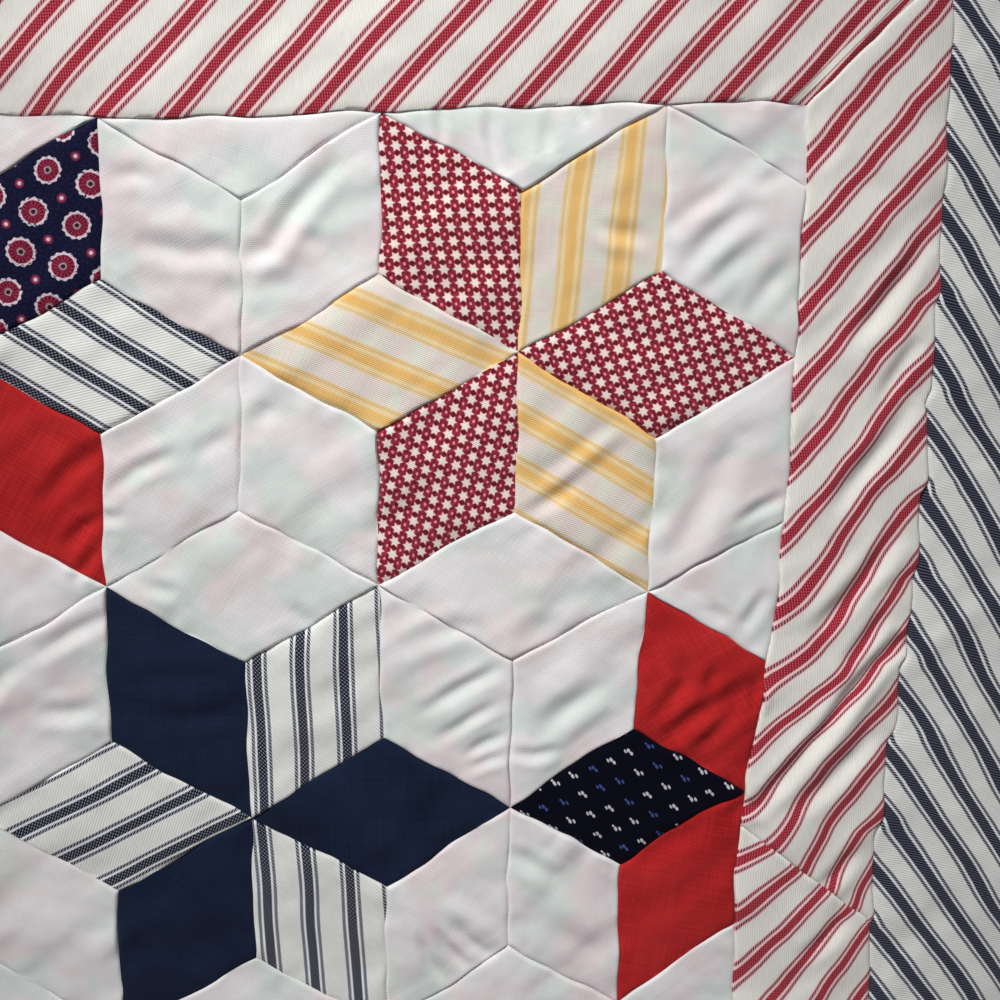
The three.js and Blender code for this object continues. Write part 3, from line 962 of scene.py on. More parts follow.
class Fabric(Enum):
    """The cloths that the quilt is cut from."""

    MUSLIN = Muslin()
    STAR_PRINT = StarPrint()
    YELLOW_STRIPE = YellowStripe()
    RED_PLAIN = PlainCotton(
        "red_cotton",
        sheen=0.04,
        dye=(0.30, 0.004, 0.006, 1.0),
        faded=(0.70, 0.036, 0.036, 1.0),
    )
    NAVY_PLAIN = PlainCotton(
        "navy_cotton",
        sheen=0.03,
        dye=(0.003, 0.007, 0.022, 1.0),
        faded=(0.013, 0.024, 0.062, 1.0),
    )
    NAVY_TICKING = Ticking("navy_ticking")
    NAVY_BORDER_TICKING = Ticking(
        "navy_border_ticking",
        wide=1.94,
        line_place=3.37,
        line_half=0.56,
        band=(0.006, 0.008, 0.022, 1.0),
        band_light=(0.17, 0.18, 0.25, 1.0),
        line_gap=(0.13, 0.14, 0.20, 1.0),
        dot_share=0.62,
        crossed=0.0,
        gap=(0.78, 0.80, 0.88, 1.0),
        ground=(0.76, 0.765, 0.74, 1.0),
    )
    RED_TICKING = Ticking(
        "red_ticking",
        wide=1.46,
        line_place=2.86,
        line_half=0.52,
        dash=1.08,
        dot_step=1.25,
        gap=(0.90, 0.60, 0.60, 1.0),
        band=(0.31, 0.008, 0.024, 1.0),
        band_light=(0.78, 0.20, 0.24, 1.0),
        line=(0.17, 0.022, 0.045, 1.0),
        line_gap=(0.62, 0.22, 0.27, 1.0),
        dot_share=0.62,
        gap_soft=0.95,
        ground=(0.82, 0.805, 0.745, 1.0),
    )
    RING_PRINT = RingPrint()
    DROP_PRINT = DropPrint()


# Meshes


@dataclass
class Surface:
    """One stretch of cloth as arrays: points in mm, triangles, places in the cloth and in the bake map."""

    points: np.ndarray
    triangles: np.ndarray
    cloth: np.ndarray
    bake: np.ndarray
    fabric: Fabric


@dataclass
class ClothPiece:
    """One sewn piece, joined from surfaces that share their edges."""

    name: str
    surfaces: list = field(default_factory=list)

    def add(self, surface: Surface) -> None:
        """Adds a surface."""
        self.surfaces.append(surface)

    def make(self, sharp_degrees: float = 50.0) -> bpy.types.Object:
        """Welds the surfaces where their points meet, and makes one object of them.

        Args:
            sharp_degrees: Edges that bend more than this are shaded sharp.

        Returns:
            The object, at the origin, with its two maps and a material slot for each fabric.
        """
        fabrics = list(dict.fromkeys(surface.fabric for surface in self.surfaces))
        starts = np.cumsum([0] + [len(surface.points) for surface in self.surfaces])
        points = np.concatenate([surface.points for surface in self.surfaces])
        corners = np.concatenate([s.triangles + start for s, start in zip(self.surfaces, starts)])
        cloth = np.concatenate([surface.cloth for surface in self.surfaces])[corners.ravel()]
        bake = np.concatenate([surface.bake for surface in self.surfaces])[corners.ravel()]
        slots = np.concatenate(
            [np.full(len(s.triangles), fabrics.index(s.fabric), np.int32) for s in self.surfaces]
        )
        rounded = np.round(points * 200.0).astype(np.int64)
        _, first, same = np.unique(rounded, axis=0, return_index=True, return_inverse=True)
        welded = same.reshape(-1)[corners]
        kept = (
            (welded[:, 0] != welded[:, 1]) & (welded[:, 1] != welded[:, 2]) & (welded[:, 2] != welded[:, 0])
        )
        welded, slots = welded[kept], slots[kept]
        cloth = cloth.reshape(-1, 3, 2)[kept].reshape(-1, 2)
        bake = bake.reshape(-1, 3, 2)[kept].reshape(-1, 2)
        mesh = bpy.data.meshes.new(self.name)
        mesh.vertices.add(len(first))
        mesh.vertices.foreach_set("co", (points[first] * MM).astype(np.float32).ravel())
        mesh.loops.add(welded.size)
        mesh.loops.foreach_set("vertex_index", welded.astype(np.int32).ravel())
        mesh.polygons.add(len(welded))
        mesh.polygons.foreach_set("loop_start", np.arange(0, welded.size, 3, dtype=np.int32))
        mesh.polygons.foreach_set("use_smooth", np.ones(len(welded), bool))
        mesh.update(calc_edges=True)
        for name, places in ((CLOTH_MAP, cloth), (BAKE_MAP, bake)):
            layer = mesh.uv_layers.new(name=name)
            layer.uv.foreach_set("vector", places.astype(np.float32).ravel())
        for fabric in fabrics:
            mesh.materials.append(material_of(fabric))
        mesh.polygons.foreach_set("material_index", slots)
        mesh.validate()
        mesh.set_sharp_from_angle(angle=math.radians(sharp_degrees))
        piece = bpy.data.objects.new(self.name, mesh)
        bpy.context.scene.collection.objects.link(piece)
        return piece


@cache
def material_of(fabric: Fabric) -> bpy.types.Material:
    """The fabric's material, made the first time that it is asked for."""
    return fabric.value.material()


def sewn_points(x: np.ndarray, y: np.ndarray, height: np.ndarray) -> np.ndarray:
    """Drawn places and heights as rows of sewn points."""
    sewn_x, sewn_y = LAYOUT.place(x, y)
    return np.stack([sewn_x.ravel(), sewn_y.ravel(), height.ravel()], axis=1)


@dataclass(frozen=True)
class Cut:
    """How a patch is cut from its fabric: the warp's direction, and where a motif's middle falls."""

    fabric: Fabric
    warp: float = 90.0
    through: tuple = (0.0, 0.0)

    def cloth_places(self, x: np.ndarray, y: np.ndarray) -> np.ndarray:
        """Places in the cloth for places from the star's middle: turned to the warp, a little drawn."""
        warp = math.radians(self.warp)
        off_x, off_y = x - self.through[0], y - self.through[1]
        off_x = off_x + 0.5 * soft_noise(x, y, 23.0, 31)
        off_y = off_y + 0.5 * soft_noise(x, y, 23.0, 32)
        across = off_x * math.sin(warp) - off_y * math.cos(warp)
        along = off_x * math.cos(warp) + off_y * math.sin(warp)
        return np.stack([across.ravel(), along.ravel()], axis=1)


class Lip(Enum):
    """Which way a seam's allowance is pressed, seen from one of its patches."""

    HIGH = 1
    LOW = -1


@dataclass
class Patch:
    """One cut diamond, or what is left of it where the field's edge cuts it."""

    corners: np.ndarray
    lips: list
    cut: Cut
    star: np.ndarray
    seed: int
    cells: int
    near_rise: float = 0.48
    broad_rise: float = 1.10
    broad_reach: float = 9.0
    lip_height: float = 0.20
    lip_reach: float = 4.5
    ledge_height: float = 0.09
    gather_height: float = 0.30
    gather_reach: float = 10.0

    def side_middles(self) -> np.ndarray:
        """The drawn middle of each side."""
        return (self.corners + np.roll(self.corners, -1, axis=0)) / 2.0

    def area(self) -> float:
        """The flat area, by the sum of the corners' cross products."""
        following = np.roll(self.corners, -1, axis=0)
        cross = self.corners[:, 0] * following[:, 1] - self.corners[:, 1] * following[:, 0]
        return float(abs(cross.sum()) / 2.0)

    def lattice(self) -> tuple:
        """Drawn places of the top's points.

        A diamond is its first corner plus u and v times its sides. A triangle is its first corner plus r
        times the way to the point at t between the other two.
        """
        steps = edge_dense_steps(self.cells, 0.16)
        across, up = np.meshgrid(steps, steps)
        start, first, last = self.corners[0], self.corners[1], self.corners[-1]
        if len(self.corners) == 4:
            places = start + across[..., None] * (first - start) + up[..., None] * (last - start)
        else:
            far = across[..., None] * (first - start) + (1.0 - across[..., None]) * (last - start)
            places = start + up[..., None] * far
        return places[..., 0], places[..., 1], across, up

    def rim(self) -> list:
        """For each side, the numbers of the lattice's points along it, going counter-clockwise."""
        numbers = np.arange((self.cells + 1) ** 2).reshape(self.cells + 1, self.cells + 1)
        if len(self.corners) == 4:
            return [numbers[0], numbers[:, -1], numbers[-1, ::-1], numbers[::-1, 0]]
        return [numbers[:, -1], numbers[-1, ::-1], numbers[::-1, 0]]

    def height(self, x: np.ndarray, y: np.ndarray) -> np.ndarray:
        """The height of the cloth's face over drawn places.

        It rises from each seam by 0.5 mm within half a millimetre, steeper on the pressed side, and by
        1.1 mm more over 9 mm. The pressed side has a lip, and gathers run in from each seam, fading over
        10 mm. Creases and soft hills lie over all of it.
        """
        narrow, broad = np.ones(x.shape), np.ones(x.shape)
        lips, gathers = np.zeros(x.shape), np.zeros(x.shape)
        following = np.roll(self.corners, -1, axis=0)
        for index, lip in enumerate(self.lips):
            start, end = self.corners[index], following[index]
            step = (end - start) / np.hypot(*(end - start))
            away = np.maximum(side_distance(start, end, x, y), 0.0)
            along = (x - start[0]) * step[0] + (y - start[1]) * step[1]
            steep = PRESSED_STEEP if lip is Lip.HIGH else OPEN_STEEP
            narrow = narrow * (1.0 - np.exp(-away / steep))
            broad = broad * (1.0 - np.exp(-away / self.broad_reach))
            if lip is Lip.HIGH:
                lips += self.lip_height * np.exp(-away / self.lip_reach) * (1.0 - np.exp(-away / 0.4))
                lips += self.ledge_height * (1.0 - smooth_step(away, 5.6, 7.4))
            wave = soft_noise(along + 0.3 * away, away * 0.18, 8.5, self.seed * 7 + index)
            wave += 0.6 * soft_noise(along - 0.2 * away, away * 0.25, 4.6, self.seed * 7 + index + 3)
            gathers += self.gather_height * wave * np.exp(-away / self.gather_reach)
        variation = 1.0 + 0.16 * np.sin(x / 27.0 + 1.0) * np.sin(y / 33.0 + 2.0)
        sewn = LAYOUT.place(x, y)
        free = RELIEF.creases(*sewn) + RELIEF.unevenness(*sewn) + gathers + lips
        base = PLAN.seam_thickness + RELIEF.ripple(x, y)
        return base + narrow * (self.near_rise + free) + self.broad_rise * variation * broad

    def bake_cell(
        self, shares: np.ndarray, index: int, low: tuple = (0.0, 0.0), size: float = 1.0
    ) -> np.ndarray:
        """Shares of a square as places in one cell of the bake map, with a margin round it."""
        spot = np.array([index % BAKE_CELLS, index // BAKE_CELLS])
        spot = spot + BAKE_MARGIN + (1.0 - 2.0 * BAKE_MARGIN) * shares
        return np.array(low) + size * spot / BAKE_CELLS

    def build(self, piece: ClothPiece, index: int, walled: list) -> None:
        """Adds the patch's face, its underside and the walls of the sides on the block's rim.

        The underside is three rings drawn in from the rim towards the middle, and a fan.

        Args:
            piece: The piece to add to.
            index: The patch's cell in the bake map.
            walled: Whether each side is on the block's rim.
        """
        x, y, across, up = self.lattice()
        tops = sewn_points(x, y, self.height(x, y))
        cloth = self.cut.cloth_places(tops[:, 0] - self.star[0], tops[:, 1] - self.star[1])
        shares = np.stack([across.ravel(), up.ravel()], axis=1)
        bake = self.bake_cell(shares, index)
        triangles = grid_triangles(self.cells, self.cells)
        piece.add(Surface(tops, triangles, cloth, bake, self.cut.fabric))
        sides = self.rim()
        loop = np.concatenate([side[:-1] for side in sides])
        flat = np.stack([x.ravel(), y.ravel()], axis=1)
        middle = self.corners.mean(axis=0)
        rings = []
        for pull, height in ((0.0, UNDER_LIFT), (0.06, 0.10), (0.14, 0.0)):
            place = flat[loop] + (middle - flat[loop]) * pull
            rings.append(sewn_points(place[:, 0], place[:, 1], np.full(len(place), height)))
        centre = sewn_points(middle[:1], middle[1:], np.zeros(1))
        count = len(loop)
        here = np.arange(count)
        after = (here + 1) % count
        under = []
        for ring in range(2):
            base = ring * count
            under.append(np.stack([base + here, base + count + after, base + after], axis=1))
            under.append(np.stack([base + here, base + count + here, base + count + after], axis=1))
        under.append(np.stack([2 * count + here, np.full(count, 3 * count), 2 * count + after], axis=1))
        points = np.concatenate([*rings, centre])
        spread = points[:, :2] - points[:, :2].min(axis=0)
        spread = spread / max(float(spread.max()), 1.0)
        bake = self.bake_cell(spread, index, (0.75, 0.75), 0.25)
        piece.add(Surface(points, np.concatenate(under), points[:, :2], bake, Fabric.MUSLIN))
        run = np.linspace(0.0, 1.0, self.cells + 1)
        for number, (side, is_walled) in enumerate(zip(sides, walled)):
            if is_walled:
                below = rings[0][(number * self.cells + np.arange(self.cells + 1)) % count]
                wall = np.concatenate([below, tops[side]])
                rise = (np.repeat([0.1, 0.9], self.cells + 1) + number) / 4.0
                places = np.stack([np.tile(run, 2), rise], axis=1)
                bake = self.bake_cell(places, index, (0.5, 0.75), 0.25)
                faces = grid_triangles(1, self.cells)
                piece.add(Surface(wall, faces, wall[:, :2], bake, self.cut.fabric))


# Star blocks


# The cuts of the four stars at the head end's right corner, by row and column. Each has six diamonds, from
# the one at the right, going round counter-clockwise.
STAR_CUTS = {
    (0, 0): (
        Cut(Fabric.STAR_PRINT, 107.0, (67.2, -5.2)),
        Cut(Fabric.YELLOW_STRIPE, 85.0, (18.5, 49.7)),
        Cut(Fabric.STAR_PRINT, 93.0, (-20.5, 35.9)),
        Cut(Fabric.YELLOW_STRIPE, 158.0, (-39.0, -5.1)),
        Cut(Fabric.STAR_PRINT, 72.0, (-15.6, -41.1)),
        Cut(Fabric.YELLOW_STRIPE, 151.0, (11.1, -24.2)),
    ),
    (0, 1): (
        Cut(Fabric.NAVY_TICKING, -31.5, (34.8, 12.0)),
        Cut(Fabric.RING_PRINT, 70.0, (37.4, 38.7)),
        Cut(Fabric.RED_PLAIN, 0.0),
        Cut(Fabric.NAVY_TICKING, -31.5, (-34.8, 12.0)),
        Cut(Fabric.RING_PRINT, 70.0, (-20.0, -40.0)),
        Cut(Fabric.RED_PLAIN, 60.0),
    ),
    (1, 1): (
        Cut(Fabric.NAVY_PLAIN, 0.0),
        Cut(Fabric.NAVY_TICKING, 91.5, (4.0, 45.0)),
        Cut(Fabric.NAVY_PLAIN, 90.0),
        Cut(Fabric.NAVY_TICKING, 27.5, (-39.2, -5.4)),
        Cut(Fabric.NAVY_PLAIN, 60.0),
        Cut(Fabric.NAVY_TICKING, 94.2, (6.0, -34.0)),
    ),
    (1, 0): (
        Cut(Fabric.RED_PLAIN, 60.0),
        Cut(Fabric.RED_PLAIN, 60.0),
        Cut(Fabric.RED_PLAIN, 30.0),
        Cut(Fabric.DROP_PRINT, 111.0, (-56.7, 6.5)),
        Cut(Fabric.RED_PLAIN, 80.0),
        Cut(Fabric.RED_PLAIN, 60.0),
    ),
}

PAIRINGS = (
    (Fabric.NAVY_PLAIN, Fabric.YELLOW_STRIPE),
    (Fabric.RING_PRINT, Fabric.RED_PLAIN),
    (Fabric.STAR_PRINT, Fabric.NAVY_TICKING),
    (Fabric.RED_PLAIN, Fabric.DROP_PRINT),
    (Fabric.NAVY_TICKING, Fabric.RING_PRINT),
    (Fabric.YELLOW_STRIPE, Fabric.RED_PLAIN),
    (Fabric.DROP_PRINT, Fabric.STAR_PRINT),
)


def seeded_cuts(row: int, column: int) -> tuple:
    """The cuts of a star of two fabrics in turn, each along its own direction."""
    pair = PAIRINGS[(row * 3 + column * 2) % len(PAIRINGS)]
    chance = np.random.default_rng(900 + row * 11 + column)
    cuts = []
    for spoke in range(6):
        warp = chance.choice([0.0, 30.0, 90.0, 60.0]) + 60.0 * spoke + chance.normal(0.0, 4.0)
        cuts.append(Cut(pair[spoke % 2], float(warp), tuple(chance.uniform(-7.0, 7.0, 2))))
    return tuple(cuts)


def clip_corners(square: list, inside: object) -> list:
    """Keeps what is inside of a polygon in u and v, cutting its sides halfway where they cross out.

    The field's edges run along the diamonds' diagonals, so a side that crosses one does so at its
    middle or its ends.
    """
    kept = []
    for here, after in zip(square, square[1:] + square[:1]):
        depth_here, depth_after = inside(here), inside(after)
        if depth_here >= -TOUCH:
            kept.append(here)
        if min(depth_here, depth_after) < -TOUCH and max(depth_here, depth_after) > TOUCH:
            share = depth_here / (depth_here - depth_after)
            kept.append(tuple(np.array(here) + (np.array(after) - np.array(here)) * share))
    return kept


@dataclass
class StarBlock:
    """A star's six diamonds with the six white ones in its notches: a hexagon that tiles the field."""

    row: int
    column: int
    plan: QuiltPlan = PLAN

    def middle(self, row: int | None = None, shift: int = 0) -> np.ndarray:
        """The star's middle, or that of the one beside it in another row."""
        of_row = self.row if row is None else row
        half_steps = 2 * self.column if of_row % 2 else 2 * self.column + 1
        if row is not None:
            half_steps = (2 * self.column if self.row % 2 else 2 * self.column + 1) + shift
        across = self.plan.half_width - half_steps * self.plan.tip_reach
        return np.array([across, self.plan.corner_star[1] - 3.0 * self.plan.patch_side * of_row])

    def cuts(self) -> tuple:
        """The star's own cuts, or seeded ones."""
        return STAR_CUTS.get((self.row, self.column)) or seeded_cuts(self.row, self.column)

    def diamond(self, origin: np.ndarray, first: np.ndarray, last: np.ndarray, lips: tuple) -> tuple | None:
        """One diamond, cut by the field's edges.

        Args:
            origin: Its first corner.
            first: Its side along u.
            last: Its side along v.
            lips: How the seams at v = 0, u = 1, v = 1 and u = 0 are pressed.

        Returns:
            Its corners and lips, or None where nothing is left.
        """
        bounds = (
            lambda p: self.plan.half_width - p[0],
            lambda p: self.plan.half_width + p[0],
            lambda p: self.plan.half_height - p[1],
            lambda p: self.plan.half_height + p[1],
        )
        square = [(0.0, 0.0), (1.0, 0.0), (1.0, 1.0), (0.0, 1.0)]
        for bound in bounds:
            square = clip_corners(square, lambda uv, b=bound: b(origin + uv[0] * first + uv[1] * last))
            if len(square) < 3:
                return None
        pairs = zip(square, [square[-1], *square[:-1]])
        square = [here for here, before in pairs if math.dist(here, before) > TOUCH]
        own_sides = ((1, 0.0), (0, 1.0), (1, 1.0), (0, 0.0))
        sides = []
        for here, after in zip(square, square[1:] + square[:1]):
            on = [abs(here[way] - at) + abs(after[way] - at) < TOUCH for way, at in own_sides]
            sides.append(on.index(True) if True in on else -1)
        if len(square) == 3:
            cut = [index for index, side in enumerate(sides) if side < 0]
            own = [index for index, side in enumerate(sides) if side >= 0]
            turn = ((cut if len(cut) == 1 else own)[0] - 1) % 3
            square = square[turn:] + square[:turn]
            sides = sides[turn:] + sides[:turn]
        corners = np.array([origin + uv[0] * first + uv[1] * last for uv in square])
        return corners, [Lip.LOW if side < 0 else lips[side] for side in sides]

    def white(self, centre: np.ndarray, spoke: int, seed: int) -> Patch | None:
        """The white diamond in the notch after a spoke, or None outside the field."""
        side = self.plan.patch_side
        origin = centre + side * direction(60.0 * spoke + 30.0)
        made = self.diamond(
            origin,
            side * direction(60.0 * spoke - 30.0),
            side * direction(60.0 * spoke + 90.0),
            (Lip.HIGH, Lip.HIGH, Lip.LOW, Lip.HIGH),
        )
        if made is None:
            return None
        warp = 60.0 * spoke + 7.0 * (seed % 5)
        return Patch(*made, Cut(Fabric.MUSLIN, warp, (float(seed % 7), 0.0)), centre, seed, self.cells())

    def coloured(self, centre: np.ndarray, spoke: int, seed: int) -> Patch | None:
        """The coloured diamond of a spoke, or None outside the field."""
        side = self.plan.patch_side
        inner = Lip.HIGH if spoke % 2 else Lip.LOW
        made = self.diamond(
            centre,
            side * direction(60.0 * spoke - 30.0),
            side * direction(60.0 * spoke + 30.0),
            (inner, Lip.LOW, Lip.LOW, inner),
        )
        if made is None:
            return None
        return Patch(*made, self.cuts()[spoke], centre, seed, self.cells())

    def cells(self) -> int:
        """Cells along a patch's side: finer near the head end's right corner, where the creases show."""
        return 48 if (self.row, self.column) in ((0, 0), (0, 1), (1, 0), (1, 1), (1, 2), (2, 0)) else 24

    def patches(self) -> list:
        """All the block's patches, with the white fillings above or below it in the outer rows."""
        centre = self.middle()
        seed = 100 + 40 * self.row + 13 * self.column
        made = [self.coloured(centre, spoke, seed + spoke) for spoke in range(6)]
        made += [self.white(centre, spoke, seed + 6 + spoke) for spoke in range(6)]
        shifts = (-1, 1) if self.column == self.plan.star_columns - 1 else (-1,)
        if self.row == 0:
            made += [self.white(self.middle(-1, shift), 4, seed + 20 + shift) for shift in shifts]
        if self.row == self.plan.star_rows - 1:
            made += [self.white(self.middle(self.row + 1, shift), 1, seed + 24 + shift) for shift in shifts]
        return [patch for patch in made if patch is not None]

    def build(self) -> bpy.types.Object:
        """Makes the block's piece, which stands for its share of the field.

        A patch's side that no other patch of the block has is on the block's rim, and gets a wall.
        """
        piece = ClothPiece(f"star_block_{self.row}_{self.column}")
        patches = self.patches()
        middles = [tuple(np.round(middle, 2)) for patch in patches for middle in patch.side_middles()]
        for index, patch in enumerate(patches):
            rim = [middles.count(tuple(np.round(middle, 2))) == 1 for middle in patch.side_middles()]
            patch.build(piece, index, rim)
        made = piece.make()
        area = sum(patch.area() for patch in patches) * MM * MM
        dress(made, "star_field")
        return made


def dress(piece: bpy.types.Object, node: str) -> None:
    """Ties a cloth piece to its body, hides the solid that it stands for, and logs its triangles."""
    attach(piece, "root")
    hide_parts(node)
    log.info("%s: %d triangles", piece.name, len(piece.data.polygons))


# Border strips


class StripEdge(Enum):
    """What a long edge of a border strip is."""

    SEAM_LOW = 0
    SEAM_HIGH = 1
    HEM = 2


@dataclass
class BorderStrip:
    """A strip of ticking between an inner and an outer edge, each given by its two ends.

    A point is inner(t) * (1 - w) + outer(t) * w, where t runs along the strip and w across it.
    """

    name: str
    inner: tuple
    outer: tuple
    fabric: Fabric
    inner_edge: StripEdge
    outer_edge: StripEdge
    seed: int
    cloth: object
    loft: float = 2.3
    cell: float = 2.0
    cells_across: int = 26
    rows: int = 4
    hem_turn: float = 9.0
    stitch_line: float = 7.2

    def width(self) -> float:
        """The strip's width, by the distance of its edges."""
        start, end = np.array(self.inner)
        step = (end - start) / np.hypot(*(end - start))
        off = np.array(self.outer[0]) - start
        return float(abs(off[0] * step[1] - off[1] * step[0]))

    def places(self, along: np.ndarray, across: np.ndarray) -> tuple:
        """Drawn places for shares along and across the strip."""
        inner, outer = np.array(self.inner), np.array(self.outer)
        low = inner[0] + along[..., None] * (inner[1] - inner[0])
        high = outer[0] + along[..., None] * (outer[1] - outer[0])
        both = low * (1.0 - across[..., None]) + high * across[..., None]
        return both[..., 0], both[..., 1]

    def height(self, along: np.ndarray, across: np.ndarray, x: np.ndarray, y: np.ndarray) -> np.ndarray:
        """The height of the strip's face.

        It rises from its seams and ends as a patch does. At the hem it is a turned edge: a thick rim that
        rounds down to 1.2 mm within 1.5 mm, with a stitched line sunk along it.
        """
        width = self.width()
        inner_away, outer_away = across * width, (1.0 - across) * width
        length = math.dist(*self.inner)
        start_away = self.end_distance(x, y, 0)
        end_away = self.end_distance(x, y, 1)
        narrow = (1.0 - 0.8 * np.exp(-start_away / 0.3)) * (1.0 - 0.8 * np.exp(-end_away / 0.5))
        broad = (1.0 - 0.3 * np.exp(-start_away / 7.0)) * (1.0 - 0.3 * np.exp(-end_away / 7.0))
        steep = PRESSED_STEEP if self.inner_edge is StripEdge.SEAM_HIGH else OPEN_STEEP
        narrow = narrow * (1.0 - np.exp(-inner_away / steep))
        broad = broad * (1.0 - np.exp(-inner_away / 8.0))
        lips = np.zeros(x.shape)
        if self.inner_edge is StripEdge.SEAM_HIGH:
            lips += 0.25 * np.exp(-inner_away / 4.5)
        gathers = self.gathers(along * length, inner_away, 0)
        hem = 0.0
        if self.outer_edge is StripEdge.HEM:
            narrow = narrow * np.sqrt(1.0 - np.clip(1.0 - outer_away / 1.6, 0.0, 1.0) ** 2)
            turned = 1.0 - smooth_step(outer_away, self.hem_turn - 0.9, self.hem_turn + 0.9)
            groove = np.exp(-(((outer_away - self.stitch_line) / 0.8) ** 2))
            puckers = soft_noise(along * length, outer_away * 0.15, 5.0, self.seed + 5)
            hem = 0.35 * turned - 0.45 * groove + 0.18 * puckers * np.exp(-outer_away / 9.0)
            broad = broad * (0.45 + 0.55 * smooth_step(outer_away, 0.0, 26.0))
        else:
            steep = PRESSED_STEEP if self.outer_edge is StripEdge.SEAM_HIGH else OPEN_STEEP
            narrow = narrow * (1.0 - np.exp(-outer_away / steep))
            broad = broad * (1.0 - np.exp(-outer_away / 8.0))
            gathers = gathers + self.gathers(along * length, outer_away, 1)
            if self.outer_edge is StripEdge.SEAM_HIGH:
                lips += 0.25 * np.exp(-outer_away / 4.5)
        sewn = LAYOUT.place(x, y)
        rough = RELIEF.unevenness(*sewn) * 0.75
        free = RELIEF.creases(*sewn) * self.crease_share(outer_away) + rough + gathers + lips + hem
        base = PLAN.seam_thickness + RELIEF.ripple(x, y)
        if self.outer_edge is StripEdge.HEM:
            base = base - 0.8 * (1.0 - smooth_step(outer_away, 0.0, 2.2))
        return base + narrow * (0.7 + free) + (self.loft - 1.2) * broad

    def crease_share(self, outer_away: np.ndarray) -> np.ndarray:
        """Creases fade out towards the hem."""
        if self.outer_edge is StripEdge.HEM:
            return smooth_step(outer_away, 4.0, 20.0)
        return np.ones(outer_away.shape)

    def gathers(self, along: np.ndarray, away: np.ndarray, edge: int) -> np.ndarray:
        """Small waves that run in from a seam and fade over 10 mm."""
        seed = self.seed * 5 + edge * 2
        wave = soft_noise(along + 0.5 * away, away * 0.12, 9.5, seed)
        wave += 0.5 * soft_noise(along + 0.4 * away, away * 0.2, 5.0, seed + 1)
        return 0.24 * wave * np.exp(-away / 10.0)

    def end_distance(self, x: np.ndarray, y: np.ndarray, end: int) -> np.ndarray:
        """The distance from the seam at the strip's start or end."""
        return np.abs(side_distance(np.array(self.inner[end]), np.array(self.outer[end]), x, y))

    def flipped(self) -> bool:
        """Whether along cross across points down, so that the triangles have to be turned."""
        along = np.array(self.inner[1]) - np.array(self.inner[0])
        over = np.array(self.outer[0]) - np.array(self.inner[0])
        return bool(along[0] * over[1] - along[1] * over[0] < 0.0)

    def turn(self, triangles: np.ndarray) -> np.ndarray:
        """Triangles that face up, whichever way round the strip was given."""
        return triangles[:, ::-1] if self.flipped() else triangles

    def build(self) -> bpy.types.Object:
        """Makes the strip's piece: its face in a few stretches, its underside and its walls."""
        piece = ClothPiece(self.name + "_cloth")
        length = math.dist(*self.outer)
        columns = self.rows * max(4, int(round(length / self.cell / self.rows)))
        shares = np.linspace(0.0, 1.0, columns + 1)
        crosswise = edge_dense_steps(self.cells_across, 0.16)
        every = columns // self.rows
        row_high = 0.88 / self.rows
        stretches = []
        for row in range(self.rows):
            part = shares[row * every : (row + 1) * every + 1]
            along, across = np.meshgrid(part, crosswise)
            x, y = self.places(along, across)
            tops = sewn_points(x, y, self.height(along, across, x, y))
            run = (along - part[0]) / (part[-1] - part[0])
            up = row_high * (row + 0.02 + 0.96 * across.ravel())
            bake = np.stack([0.01 + 0.98 * run.ravel(), up], axis=1)
            triangles = self.turn(grid_triangles(self.cells_across, every))
            cloth = self.cloth(across.ravel(), tops[:, 0], tops[:, 1])
            piece.add(Surface(tops, triangles, cloth, bake, self.fabric))
            stretches.append(tops.reshape(self.cells_across + 1, every + 1, 3))
        self.build_under(piece, shares, crosswise, stretches)
        made = piece.make()
        corners = np.array([*self.inner, *self.outer])
        area = (length + math.dist(*self.inner)) / 2.0 * self.width() * MM * MM
        dress(made, self.name)
        return made

    def build_under(
        self, piece: ClothPiece, shares: np.ndarray, crosswise: np.ndarray, stretches: list
    ) -> None:
        """Adds the underside, which has the face's lines along and a few of those across, and the walls."""
        last = self.cells_across
        picked = np.array([0, 3, 6, last // 2, last - 6, last - 3, last])
        lines = crosswise[picked]
        along, across = np.meshgrid(shares, lines)
        x, y = self.places(along, across)
        width = self.width()
        away = np.minimum(across, 1.0 - across) * width
        if self.outer_edge is StripEdge.HEM:
            away = across * width
        height = UNDER_LIFT * np.exp(-away / 1.2)
        height = np.where(height < 0.002, 0.0, height)
        below = sewn_points(x, y, height)
        columns = len(shares) - 1
        triangles = self.turn(grid_triangles(len(lines) - 1, columns))[:, ::-1]
        bake = np.stack([0.01 + 0.98 * along.ravel(), 0.885 + 0.05 * across.ravel()], axis=1)
        piece.add(Surface(below, triangles, below[:, :2], bake, Fabric.MUSLIN))
        grid = below.reshape(len(lines), columns + 1, 3)
        tops = np.concatenate([stretches[0]] + [stretch[:, 1:] for stretch in stretches[1:]], axis=1)
        for share, bottom_row, top_row, reverse, low in (
            (0.0, grid[0], tops[0], False, 0.94),
            (1.0, grid[-1], tops[-1], True, 0.955),
        ):
            wall = np.concatenate([bottom_row, top_row])
            faces = self.turn(grid_triangles(1, columns))
            faces = faces[:, ::-1] if reverse else faces
            run = np.concatenate([shares, shares])
            rise = np.repeat([0.0, 1.0], columns + 1)
            bake = np.stack([0.01 + 0.98 * run, low + 0.012 * rise], axis=1)
            cloth = self.cloth(np.full(columns + 1, share), top_row[:, 0], top_row[:, 1])
            piece.add(Surface(wall, faces, np.concatenate([cloth, cloth]), bake, self.fabric))
        for column, reverse, low in ((0, True, 0.97), (-1, False, 0.985)):
            top_line, bottom_line = tops[:, column], grid[:, column]
            holder = np.searchsorted(picked, np.arange(self.cells_across), side="right") - 1
            base = len(bottom_line)
            number = np.arange(self.cells_across)
            upper = np.stack([base + number, holder, base + number + 1], axis=1)
